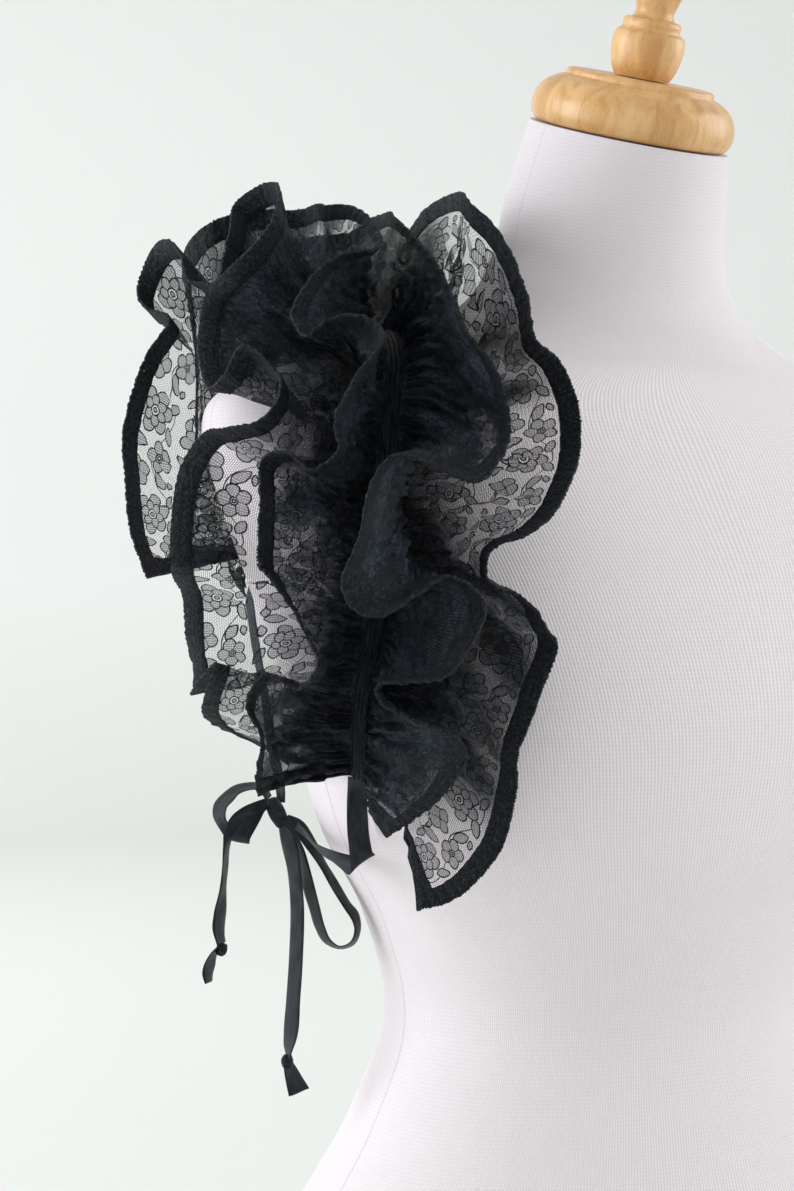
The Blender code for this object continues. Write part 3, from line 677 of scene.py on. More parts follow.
    def _lay_flower(self, pattern: Pattern, name: str, flower: Flower) -> None:
        """A flower's distance and its cords: one or more rings of petals round a woven eye.

        Args:
            pattern: The lace's pattern.
            name: The flower's name.
            flower: Its sizes.
        """
        pattern.add("in flower", "Mapping", {
            "Vector": "place", "Location": (flower.along_mm, flower.across_mm, 0),
            "Rotation": (0, 0, math.radians(flower.turn_deg))}, vector_type="TEXTURE")
        pattern.add("r", "VectorMath", {0: "in flower"}, output="Value", operation="LENGTH")
        for axis in "XY":
            pattern.add(f"flower {axis}", "SeparateXYZ", {0: "in flower"}, output=axis)
        pattern.sum_up(("angle", "ARCTAN2", "flower Y", "flower X"),
                       ("in clear", "SUBTRACT", flower.clear_mm, "r"))
        self._lay_petals(pattern, "petals", flower.petals, flower.rings[0], 0.0)
        pattern.sum_up((f"{name} cords", "MAXIMUM", "petals cord", "in clear"))
        for number, petal in enumerate(flower.rings[1:], 1):
            turned = number * math.pi / flower.petals
            self._lay_petals(pattern, "behind", flower.petals, petal, turned)
            pattern.sum_up(
                ("not in front", "MULTIPLY", "petals", -1.0),
                ("shown cord", "MAXIMUM", "behind cord", "not in front"),
                (f"{name} cords", "MINIMUM", f"{name} cords", "shown cord"),
                ("petals", "MINIMUM", "petals", "behind"))
        pattern.sum_up(("open flower", "MAXIMUM", "petals", "in clear"),
                       ("eye", "SUBTRACT", "r", flower.eye_mm),
                       (name, "MINIMUM", "open flower", "eye"))

    def _lay_figures(self, pattern: Pattern) -> None:
        """The distances from the nearest figure and from the nearest cord.

        Args:
            pattern: The lace's pattern.
        """
        figure, cords = "flower 0", "flower 0 cords"
        for number, flower in enumerate(self.flowers):
            name = f"flower {number}"
            self._lay_flower(pattern, name, flower)
            if number:
                pattern.sum_up(("figure", "MINIMUM", figure, name),
                               ("cords", "MINIMUM", cords, f"{name} cords"))
                figure, cords = "figure", "cords"
        for leaf in self.leaves:
            self._lay_leaf(pattern, "next", "place", leaf)
            pattern.sum_up(("figure", "MINIMUM", "figure", "next"))
        middle, swing = self.vine_mm
        half_cord = self.cord_mm / 2
        pattern.sum_up(
            ("off figure", "ABSOLUTE", "figure"),
            ("figure cord", "SUBTRACT", "off figure", half_cord),
            ("from flower", "SUBTRACT", "u", self.flowers[0].along_mm),
            *even_wave("vine wave", "from flower", self.repeat_mm[0]),
            ("vine", "MULTIPLY_ADD", "vine wave", swing, middle),
            ("beside vine", "SUBTRACT", "v", "vine"),
            ("off vine", "ABSOLUTE", "beside vine"),
            ("vine cord", "SUBTRACT", "off vine", half_cord * self.vine_cord),
            ("outside", "MULTIPLY", "figure", -1.0),
            ("free vine", "MAXIMUM", "vine cord", "outside"),
            ("outlines", "MINIMUM", "figure cord", "cords"),
            ("off cord", "MINIMUM", "outlines", "free vine"))

    def _lay_threads(self, pattern: Pattern) -> None:
        """How far the threads cover each place, and how far gathers close what they leave.

        Args:
            pattern: The lace's pattern.
        """
        pattern.add("net", "TexBrick", {
            "Vector": "in mm", "Scale": 1.0, "Mortar Size": self.net_thread_mm,
            "Mortar Smooth": 0.5, "Brick Width": self.mesh_mm[0], "Row Height": self.mesh_mm[1]},
            output="Fac", offset=0.5)
        for name, distance in (("inside", "figure"), ("cord", "off cord")):
            pattern.add(name, "MapRange", {
                "Value": distance, "From Min": -self.edge_mm, "From Max": self.edge_mm,
                "To Min": 1.0, "To Max": 0.0}, interpolation_type="SMOOTHSTEP")
        pattern.add("slubs", "TexNoise", {
            "Vector": "in mm", "Scale": 1 / self.slub_mm, "Detail": 2.0})
        pattern.add("gathered", "Attribute", output="Fac", attribute_name=GATHERED)
        pattern.add("off pinhole", "TexVoronoi", {
            "Vector": "in mm", "Scale": 1 / self.pinhole_mm}, output="Distance")
        pattern.add("pinhole", "MapRange", {
            "Value": "off pinhole", "From Min": 0.12, "From Max": 0.3, "To Min": 2.5,
            "To Max": 0.0})
        low, high = self.figure_cover
        pattern.sum_up(
            *even_wave("warp", "u", self.weave_mm),
            *even_wave("weft", "v", self.weave_mm),
            ("threads", "MULTIPLY_ADD", "weft", self.weft, "warp"),
            ("thick", "MULTIPLY_ADD", "threads", (high - low) / 2, low),
            ("weave", "MULTIPLY_ADD", "slubs", self.slubs, "thick"),
            ("net cover", "MULTIPLY", "net", self.net_cover),
            ("figure cover", "MULTIPLY", "inside", "weave"),
            ("cloth", "MAXIMUM", "net cover", "figure cover"),
            ("cover", "MAXIMUM", "cloth", "cord"),
            ("open", "SUBTRACT", 1.0, "cover"),
            ("loose", "SUBTRACT", 1.0, "gathered"),
            ("let through", "MULTIPLY", "loose", "pinhole"),
            ("shut", "SUBTRACT", 1.0, "let through"),
            ("lined", "MULTIPLY", "gathered", "shut"),
            ("closed", "MULTIPLY_ADD", "open", "lined", "cover"))

    def _lay_colour(self, pattern: Pattern) -> None:
        """The threads' black, with painted sheen in patches and on the figures, and darker cords.

        Args:
            pattern: The lace's pattern.
        """
        pattern.add("patches", "TexNoise", {
            "Vector": "in mm", "Scale": 1 / self.patch_mm, "Detail": 6.0, "Roughness": 0.75})
        pattern.add("broad_sheen", "TexNoise", {
            "Vector": "in mm", "Scale": 1 / self.broad_sheen_mm, "Detail": 1.0})
        # painted sheen: the threads are lightened towards the sheen colour where the fine patches,
        # the broad patches and the figures' weave rise
        pattern.sum_up(
            ("woven", "MULTIPLY", "inside", "threads"),
            ("fine_painted_sheen", "MULTIPLY_ADD", "woven", self.woven, "patches"),
            ("painted_sheen", "MULTIPLY_ADD", "broad_sheen", self.broad_sheen, "fine_painted_sheen"))
        pattern.add("share", "MapRange", {"Value": "painted_sheen", "From Min": 0.77, "From Max": 0.97})
        pattern.add("thread", "Mix", {
            0: "share", MIX_A: self.thread_colour, MIX_B: self.painted_sheen_colour}, **MIX)
        pattern.add("colour", "Mix", {0: "cord", MIX_A: "thread", MIX_B: self.cord_colour}, **MIX)


@dataclass(frozen=True)
class FoldedLaceHem(Finish):
    """The same lace folded over and over and stitched flat: dense black, crushed, with pinholes."""

    name: str = "folded_black_lace"
    colour: str = "#06080b"
    # painted sheen: the blue-grey that the hem's black is lightened to where its crush rises
    painted_sheen_colour: str = "#3d4755"
    sheen_colour: str = "#a3b2c2"
    ridge_mm: float = 3.2
    crush_mm: float = 1.818
    crush_depth: float = 4.0
    pinhole_mm: float = 1.3
    thin_mm: float = 9.09

    def lay(self, pattern: Pattern) -> dict[str, object]:
        """The hem, with the ridges of folded-in cords, painted sheen where its crush rises, and a
        few holes where meshes meet.

        Args:
            pattern: The nodes that it is laid in.

        Returns:
            The shader's inputs.
        """
        pattern.lay_cloth()
        pattern.add("off ridge", "TexVoronoi", {"Vector": "in mm", "Scale": 1 / self.ridge_mm},
                    output="Distance", feature="DISTANCE_TO_EDGE")
        pattern.add("ridge", "MapRange", {
            "Value": "off ridge", "From Max": 0.22, "To Min": 1.0, "To Max": 0.0})
        pattern.add("crush", "TexNoise", {
            "Vector": "in mm", "Scale": 1 / self.crush_mm, "Detail": 6.0, "Roughness": 0.75})
        # painted sheen: the crush noise lightens the black towards the sheen colour
        pattern.add("share", "MapRange", {"Value": "crush", "From Min": 0.48, "From Max": 0.66})
        pattern.add("colour", "Mix", {
            0: "share", MIX_A: self.colour, MIX_B: self.painted_sheen_colour}, **MIX)
        pattern.add("off pinhole", "TexVoronoi", {
            "Vector": "in mm", "Scale": 1 / self.pinhole_mm}, output="Distance")
        pattern.add("thin", "TexNoise", {
            "Vector": "in mm", "Scale": 1 / self.thin_mm, "Detail": 2.0})
        pattern.add("pinhole", "MapRange", {
            "Value": "thin", "From Min": 0.52, "From Max": 0.72, "To Max": 0.3})
        pattern.sum_up(
            ("height", "MULTIPLY_ADD", "crush", self.crush_depth, "ridge"),
            ("cover", "GREATER_THAN", "off pinhole", "pinhole"))
        pattern.add("bump", "Bump", {"Height": "height", "Strength": 1.0, "Distance": 0.6 * MM})
        return {"Base Color": "colour", "Roughness": 0.62, "Normal": "bump", "Alpha": "cover",
                "Specular IOR Level": 0.3, "Sheen Weight": 0.04, "Sheen Roughness": 0.35,
                "Sheen Tint": self.sheen_colour}


@dataclass(frozen=True)
class PolyesterSatin(Finish):
    """Black polyester satin ribbon, woven with its floats lengthwise: smooth, cool soft gloss."""

    name: str = "black_polyester_satin"
    colour: str = "#06080b"
    # painted sheen: the blue-grey that the satin's black is lightened to along its creases
    painted_sheen_colour: str = "#1c242e"
    sheen_colour: str = "#a8b8c6"
    float_mm: float = 0.6  # the floats are half as wide, too fine to show at this size
    crease_mm: tuple[float, float] = (8.333, 2.0)
    crease_depth: float = 5.0

    def lay(self, pattern: Pattern) -> dict[str, object]:
        """The satin, with fine lengthwise floats, a few crushed creases with painted sheen along
        them, and soft gloss.

        Args:
            pattern: The nodes that it is laid in.

        Returns:
            The shader's inputs.
        """
        pattern.lay_cloth()
        pattern.add("across", "SeparateXYZ", {0: "in mm"}, output="Y")
        along, across = self.crease_mm
        pattern.add("drawn out", "Mapping", {
            "Vector": "in mm", "Scale": (1 / along, 1 / across, 1.0)})
        pattern.add("creases", "TexNoise", {"Vector": "drawn out", "Scale": 1.0, "Detail": 3.0})
        pattern.sum_up(
            *even_wave("floats", "across", self.float_mm),
            ("height", "MULTIPLY_ADD", "creases", self.crease_depth, "floats"))
        # painted sheen: where the crease noise rises, the black is lightened towards the sheen
        # colour
        pattern.add("share", "MapRange", {"Value": "creases", "From Min": 0.35, "From Max": 0.65})
        pattern.add("colour", "Mix", {
            0: "share", MIX_A: self.colour, MIX_B: self.painted_sheen_colour}, **MIX)
        pattern.add("bump", "Bump", {"Height": "height", "Strength": 0.35, "Distance": 0.15 * MM})
        return {"Base Color": "colour", "Roughness": 0.4, "Normal": "bump",
                "Specular IOR Level": 0.25, "Sheen Weight": 0.03, "Sheen Roughness": 0.3,
                "Sheen Tint": self.sheen_colour}


@dataclass(frozen=True)
class MattPaint(Finish):
    """Matt emulsion: pale grey on the studio's floor, white up its walls, with roller texture."""

    name: str = "matt_emulsion"
    floor_colour: str = "#e9ebe8"
    wall_colour: str = "#f3f4f3"
    wall_starts: float = 0.5
    nap_mm: float = 4.0

    def lay(self, pattern: Pattern) -> dict[str, object]:
        """The paint, which pales up the wall, with a roller's nap.

        Args:
            pattern: The nodes that it is laid in.

        Returns:
            The shader's inputs.
        """
        pattern.add("place", "TexCoord", output="Object")
        pattern.add("nap", "TexNoise", {"Vector": "place", "Scale": 1 / (self.nap_mm * MM)})
        pattern.add("bump", "Bump", {"Height": "nap", "Strength": 0.05, "Distance": 0.1 * MM})
        pattern.add("height", "SeparateXYZ", {0: "place"}, output="Z")
        pattern.add("share", "MapRange", {"Value": "height", "From Max": self.wall_starts})
        pattern.add("colour", "Mix", {
            0: "share", MIX_A: self.floor_colour, MIX_B: self.wall_colour}, **MIX)
        return {"Base Color": "colour", "Roughness": 0.9, "Normal": "bump",
                "Specular IOR Level": 0.1}


# ---------------------------------------------------------------- dress form
class FormRow(NamedTuple):
    """One level section of the body: a rounded oval, tipped forward where the neck leans."""

    height: float
    half_width: float
    half_depth: float
    setback: float
    tilt_deg: float
    power: float


class TurnedPoint(NamedTuple):
    """A point on a turned piece's outline: height above its foot, and radius."""

    height: float
    radius: float


FORM_ROWS = table(
    FormRow,
    (0.000, 0.190, 0.126, 0.000, 0, 2.2), (0.060, 0.202, 0.134, 0.000, 0, 2.2),
    (0.130, 0.193, 0.124, -0.002, 0, 2.1), (0.190, 0.156, 0.104, -0.002, 0, 2.1),
    (0.245, 0.133, 0.094, 0.000, 0, 2.1), (0.300, 0.149, 0.101, -0.006, 0, 2.1),
    (0.350, 0.179, 0.112, -0.012, 0, 2.1), (0.410, 0.199, 0.119, -0.014, 0, 2.1),
    (0.470, 0.216, 0.112, -0.006, 0, 2.2), (0.520, 0.231, 0.096, 0.006, 0, 2.3),
    (0.555, 0.240, 0.080, 0.012, 0, 2.3), (0.575, 0.230, 0.068, 0.012, 0, 2.2),
    (0.592, 0.186, 0.062, 0.010, 2, 2.1), (0.606, 0.134, 0.061, 0.005, 4, 2.0),
    (0.626, 0.089, 0.062, 0.000, 8, 2.0), (0.652, 0.068, 0.062, -0.002, 12, 2.0),
    (0.684, 0.062, 0.060, -0.007, 16, 2.0), (0.723, 0.056, 0.055, -0.020, 20, 2.0),
)
CAP_OUTLINE = table(
    TurnedPoint,
    (0.0000, 0.0500), (0.0010, 0.0532), (0.0050, 0.0557), (0.0100, 0.0564), (0.0160, 0.0552),
    (0.0215, 0.0516), (0.0250, 0.0466), (0.0268, 0.0428), (0.0272, 0.0414), (0.0295, 0.0409),
    (0.0306, 0.0394), (0.0310, 0.0370),
)
FINIAL_OUTLINE = table(
    TurnedPoint,
    (0.0000, 0.0152), (0.0040, 0.0174), (0.0100, 0.0191), (0.0160, 0.0199), (0.0205, 0.0197),
    (0.0240, 0.0184), (0.0250, 0.0166), (0.0264, 0.0158), (0.0290, 0.0160), (0.0308, 0.0150),
    (0.0318, 0.0116), (0.0345, 0.0105), (0.0400, 0.0118), (0.0500, 0.0150), (0.0620, 0.0172),
    (0.0740, 0.0176), (0.0850, 0.0160), (0.0930, 0.0118), (0.0970, 0.0055),
)


@dataclass
class DressForm:
    """The limbless form: a jersey-covered torso, a turned neck cap and a finial."""

    jersey: RibbedJersey = RibbedJersey()
    wood: VarnishedBeech = VarnishedBeech()
    sides: int = 144
    rings: int = 170
    lean_deg: float = 20.0
    cap_seat: float = 0.5 * MM
    turned_sides: int = 96
    turned_step: float = 0.5 * MM
    torso_crease_deg: float = 40.0
    turned_crease_deg: float = 35.0

    def body_rings(self) -> np.ndarray:
        """The rings of points round the body, from its underside to the top of the neck.

        Returns:
            The rings, lowest first.
        """
        height, wide, deep, setback, tilt, power = smooth_line(
            np.arange(len(FORM_ROWS)), np.array(FORM_ROWS), self.rings).T[:, :, None]
        turn = 2 * math.pi * np.arange(self.sides) / self.sides
        across, back = (squared_off(value, 2 / power) for value in (np.cos(turn), np.sin(turn)))
        lean = np.radians(tilt)
        return np.stack([wide * across, setback + deep * back * np.cos(lean),
                         height + deep * back * np.sin(lean)], axis=2)

    def build_torso(self, rings: np.ndarray) -> Object:
        """The torso, closed below and under the cap, with ribs that run up it.

        Args:
            rings: The rings of points round it.

        Returns:
            The piece.
        """
        rise = lengths_along(rings[:, 0])
        run = self.jersey.around * np.arange(self.sides + 1) / self.sides
        corners = ((0, 0), (1, 0), (1, 1), (0, 1))
        flat = [(run[side + right], rise[low + up]) for low in range(self.rings - 1)
                for side in range(self.sides) for right, up in corners]
        flat += [(0.0, 0.0)] * (2 * self.sides)  # the corners of the two flat ends
        torso = make_piece("torso_jersey", rings, ring_faces(self.rings, self.sides),
                           self.jersey.material(), Slot.JERSEY, np.array(flat))
        torso.data.set_sharp_from_angle(angle=math.radians(self.torso_crease_deg))
        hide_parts("form_torso")
        return torso

    def build_turned(self, name: str, outline: tuple[TurnedPoint, ...], foot: Vector,
                     finish: Material) -> Object:
        """A turned piece: its outline on a smooth curve, spun about the leaning axis.

        Args:
            name: The piece's name.
            outline: Its outline, foot first.
            foot: The middle of its foot.
            finish: Its material.

        Returns:
            The piece.
        """
        points = np.array(outline)
        keys = lengths_along(points)
        fine = smooth_line(keys, points, round(keys[-1] / self.turned_step))
        tilt = np.array(Matrix.Rotation(math.radians(self.lean_deg), 3, "X"))
        rings = spun(*fine.T, self.turned_sides) @ tilt.T + np.array(foot)
        piece = make_piece(name, rings, ring_faces(len(fine), self.turned_sides), finish,
                           Slot.WOOD)
        piece.data.set_sharp_from_angle(angle=math.radians(self.turned_crease_deg))
        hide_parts(f"form_{name}")
        return piece

    def build(self) -> None:
        """The whole form."""
        rings = self.body_rings()
        LOG.info("torso: %s", self.build_torso(rings).name)
        neck = Vector(rings[-1].mean(axis=0))
        lean = math.radians(self.lean_deg)
        up = Vector((0, -math.sin(lean), math.cos(lean)))
        wood, rise = self.wood.material(), 0.0
        for name, outline in (("neck_cap", CAP_OUTLINE), ("finial", FINIAL_OUTLINE)):
            rise += self.cap_seat
            LOG.info("turned: %s", self.build_turned(name, outline, neck + rise * up, wood).name)
            rise += outline[-1].height


# ---------------------------------------------------------------- line that the collar follows
SPINE_POINTS = (  # points near the form that the gathered line passes before it is seated
    (-0.185, -0.044, 0.381), (-0.189, -0.057, 0.430), (-0.188, -0.068, 0.475),
    (-0.182, -0.060, 0.520), (-0.171, -0.046, 0.558), (-0.155, -0.024, 0.588),
    (-0.142, 0.008, 0.606), (-0.152, 0.041, 0.596), (-0.166, 0.064, 0.568),
    (-0.180, 0.072, 0.530), (-0.188, 0.068, 0.490),
)


class GatherLine:
    """The line that the lace is gathered along, seated on the form's skin.

    At each point it has three directions: along it, out from the form, and across to the neck.
    """

    step = 4 * MM
    curve_points = 200
    seat_half_width = 6.5 * MM
    seat_shares = (-1, -0.5, 0, 0.5, 1)
    seat_easing, out_easing, along_easing, sunk_easing = 3, 12, 6, 4  # rounds of smoothing

    def __init__(self, form_node: Object) -> None:
        """Seats the line on the form.

        Args:
            form_node: The CAD torso.
        """
        mesh = form_node.data
        self.skin = BVHTree.FromPolygons([v.co for v in mesh.vertices],
                                         [p.vertices for p in mesh.polygons])
        rough = self._evenly(smooth_line(np.arange(len(SPINE_POINTS)), np.array(SPINE_POINTS),
                                         self.curve_points))
        found = [self.skin.find_nearest(Vector(point)) for point in rough]
        seats = self._eased(np.array([seat for seat, *_ in found]), self.seat_easing)
        outs = self._eased(np.array([out for _, out, *_ in found]), self.out_easing)
        self.out = outs / np.linalg.norm(outs, axis=1)[:, None]
        along = np.gradient(self._eased(seats, self.along_easing), axis=0)
        along -= (along * self.out).sum(1)[:, None] * self.out
        self.along = along / np.linalg.norm(along, axis=1)[:, None]
        self.across = np.cross(self.along, self.out)
        sunk = np.array([max(self._sunk(point + share * self.seat_half_width * across)
                             for share in self.seat_shares)
                         for point, across in zip(seats, self.across)])
        deepest = np.maximum(sunk, np.maximum(np.roll(sunk, 1), np.roll(sunk, -1)))
        sunk = self._eased(deepest, self.sunk_easing)
        self.points = seats + sunk[:, None] * self.out
        self.length_to = lengths_along(self.points)
        self.length = self.length_to[-1]

    def _sunk(self, point: np.ndarray) -> float:
        """How far a point is under the form's skin, or nothing if it is outside."""
        seat, out, _, _ = self.skin.find_nearest(Vector(point))
        return max(-(Vector(point) - seat).dot(out), 0.0)

    def _evenly(self, line: np.ndarray) -> np.ndarray:
        """The line again with its points a step apart."""
        to = lengths_along(line)
        return read_off(np.linspace(0, to[-1], round(to[-1] / self.step) + 1), to, line)

    @staticmethod
    def _eased(values: np.ndarray, times: int) -> np.ndarray:
        """The values with their small jumps smoothed away, the two ends kept.

        Args:
            values: The values along the line.
            times: How many rounds of smoothing they get.

        Returns:
            The values.
        """
        for _ in range(times):
            values = values.copy()
            values[1:-1] = (values[:-2] + 2 * values[1:-1] + values[2:]) / 4
        return values

    def place(self, distance: np.ndarray, sideways: np.ndarray, lift: np.ndarray) -> np.ndarray:
        """Points beside the line.

        Args:
            distance: How far along the line; past an end it goes straight on.
            sideways: How far towards the neck.
            lift: How far out from the form.

        Returns:
            One point for each distance.
        """
        distance, sideways, lift = np.broadcast_arrays(distance, sideways, lift)
        inside = np.clip(distance, 0.0, self.length)
        point, along, out, across = (read_off(inside, self.length_to, values) for values in (
            self.points, self.along, self.out, self.across))
        return (point + (distance - inside)[..., None] * along
                + sideways[..., None] * across + lift[..., None] * out)

    def clear(self, point: np.ndarray, clearance: float) -> np.ndarray:
        """The point, moved straight out from the form if it is nearer than the clearance.

        Args:
            point: The point.
            clearance: The least distance from the form.

        Returns:
            The point, moved or as it was.
        """
        seat, out, _, _ = self.skin.find_nearest(Vector(point))
        height = (Vector(point) - seat).dot(out)
        return point if height >= clearance else point + (clearance - height) * np.array(out)


# ---------------------------------------------------------------- lace strips
class Fold(NamedTuple):
    """Where a frill's hem turns: along the line, raised from the form, and how far out."""

    along_mm: float
    raised_deg: float
    reach_mm: float


class Closing(NamedTuple):
    """How far the net is closed up by small pleats at a place along the strip, from 0 to 1."""

    along_mm: float
    closed: float
    by_casing: float = 0.9


class Pleats(NamedTuple):
    """Fine gathers: how many there are, how deep, where they are deepest, and their seed."""

    count: float
    deep_mm: float
    deepest_at: float
    seed: int


UNDER_NECK_FOLDS = table(
    Fold,
    (-21, 43, 88), (-19, 33, 90), (-10, 22, 91), (4, 13, 92), (26, 9, 92), (49, 19, 92),
    (70, 19, 92), (82, 18, 92), (88, 29, 92), (94, 42, 90), (99, 53, 78), (107, 53, 78),
    (112, 45, 88), (120, 36, 93), (134, 30, 94), (156, 32, 94), (174, 37, 94), (186, 47, 92),
    (188, 58, 91), (203, 61, 90), (212, 64, 90), (221, 67, 90), (229, 70, 88), (240, 66, 84),
    (252, 59, 81), (264, 53, 82), (274, 48, 85), (282, 42, 87), (290, 30, 88), (302, 16, 90),
    (320, 32, 92), (336, 50, 90), (354, 22, 92), (374, 6, 94), (392, 18, 90), (412, 22, 92),
    (434, 8, 92),
)
UPPER_NECK_FOLDS = table(
    Fold,
    (13, 50, 88), (21, 42, 90), (31, 35, 90), (41, 34, 90), (50, 41, 90), (57, 60, 84),
    (61, 69, 84), (68, 72, 86), (71, 64, 88), (77, 52, 88), (87, 51, 88), (95, 60, 88),
    (97, 68, 86), (92, 74, 88), (86, 80, 90), (88, 92, 90), (93, 97, 90), (110, 96, 90),
    (123, 94, 90), (132, 90, 90), (131, 82, 90), (128, 74, 88), (127, 61, 90), (137, 58, 90),
    (154, 65, 90), (169, 73, 90), (179, 81, 88), (190, 85, 86), (202, 88, 80), (213, 90, 74),
    (224, 91, 69), (238, 90, 65), (256, 84, 62), (274, 70, 66), (292, 56, 84), (310, 74, 88),
    (330, 54, 90), (352, 60, 90), (376, 40, 90), (398, 46, 90), (422, 34, 90),
)
UPPER_ARM_FOLDS = table(
    Fold,
    (24, 98, 90), (42, 92, 90), (54, 80, 90), (63, 82, 90), (61, 94, 88), (70, 97, 88),
    (80, 88, 88), (90, 72, 90), (98, 62, 90), (110, 60, 90), (122, 60, 90), (134, 58, 90),
    (135, 66, 90), (129, 75, 88), (134, 81, 88), (145, 75, 88), (156, 75, 88), (174, 81, 88),
    (180, 74, 87), (178, 63, 88), (174, 57, 88), (180, 53, 90), (193, 57, 90), (201, 66, 90),
    (205, 78, 88), (218, 80, 82), (236, 80, 76), (252, 76, 74), (270, 82, 74), (288, 88, 77),
    (298, 70, 88), (306, 62, 93), (320, 66, 93), (334, 80, 84), (352, 100, 78), (370, 110, 74),
    (388, 116, 74), (410, 108, 70),
)
UNDER_ARM_FOLDS = table(
    Fold,
    (-9, -13, 76), (2, -2, 80), (14, 11, 80), (26, 22, 77), (38, 27, 72), (46, 25, 69),
    (48, 21, 69), (44, 18, 73), (37, 16, 80), (30, 14, 86), (26, 11, 90), (27, 7, 92), (32, 4, 93),
    (41, 2, 93), (53, 2, 92), (66, 3, 93), (98, 12, 96), (127, 6, 97), (143, 4, 95), (154, 14, 88),
    (152, 28, 82), (153, 40, 76), (164, 45, 76), (173, 40, 80), (179, 34, 88), (172, 25, 88),
    (176, 10, 88), (193, 8, 94), (222, 18, 96), (214, 29, 97), (214, 39, 97), (220, 49, 97),
    (231, 58, 98), (258, 66, 98), (280, 67, 98), (288, 60, 98), (284, 43, 96), (294, 24, 97),
    (304, 24, 99), (306, 34, 103), (311, 43, 106), (320, 50, 106), (330, 45, 102), (334, 30, 94),
    (328, 17, 90), (348, 13, 90), (370, 7, 92), (392, 8, 92), (426, 13, 92), (458, 8, 90),
)

CASING_WIDTH = 9.0 * MM
ROOT_SIDEWAYS = CASING_WIDTH / 2 + 1.1 * MM  # from the gathered line to where a frill starts
UNDER_LIFT, UPPER_LIFT, CASING_LIFT = 1.1 * MM, 2.88 * MM, 4.18 * MM  # above the form's skin
GATHER_DRIFT, GATHER_FAN = Wave(4.5, 0.07, 0), Wave(2.5, 0.3, 1)  # in radians of a gather
GATHER_SWELL = Wave(0.4, 0.03, 2)
PUCKER, CRINKLE, FRAY = Wave(1.0, 0.011, 5), Wave(0.6, 0.0035, 9), Wave(1.0, 0.0024, 13)
CLOSING = Wave(0.25, 0.07, 61)
PLEATS = (Pleats(112, 2.0, 0.10, 11), Pleats(52, 2.9, 0.28, 23), Pleats(25, 2.4, 0.5, 37))
UNDER_NECK_CLOSING = table(
    Closing,
    (0, 0.0), (60, 0.0), (78, 0.5), (92, 0.88), (190, 0.92), (250, 0.85), (275, 0.45), (305, 0.1),
    (385, 0.05), (405, 0.85), (455, 0.85), (480, 0.15), (558, 0.1), (578, 0.9), (780, 0.9),
    (830, 0.1, 0.1), (950, 0.1, 0.1),
)
UNDER_ARM_CLOSING = table(
    Closing,
    (0, 0.2, 0.6), (90, 0.1, 0.35), (288, 0.0, 0.35), (315, 0.85), (345, 0.9), (365, 0.35),
    (392, 0.35), (412, 0.85), (500, 0.85), (530, 0.4), (560, 0.5), (600, 0.8), (700, 0.7),
    (740, 0.3, 0.4), (820, 0.05, 0.15), (950, 0.05, 0.15),
)
UPPER_NECK_CLOSING = table(
    Closing,
    (0, 0.65), (100, 0.7), (200, 0.8), (300, 0.9), (550, 0.97), (740, 0.97), (790, 0.1, 0.1),
    (950, 0.1, 0.1),
)
UPPER_ARM_CLOSING = table(
    Closing,
    (0, 0.8), (130, 0.75), (160, 0.5), (235, 0.5), (260, 0.85), (480, 0.9), (520, 0.6), (590, 0.5),
    (620, 0.85), (740, 0.85), (775, 0.3, 0.4), (820, 0.05, 0.1), (950, 0.05, 0.1),
)


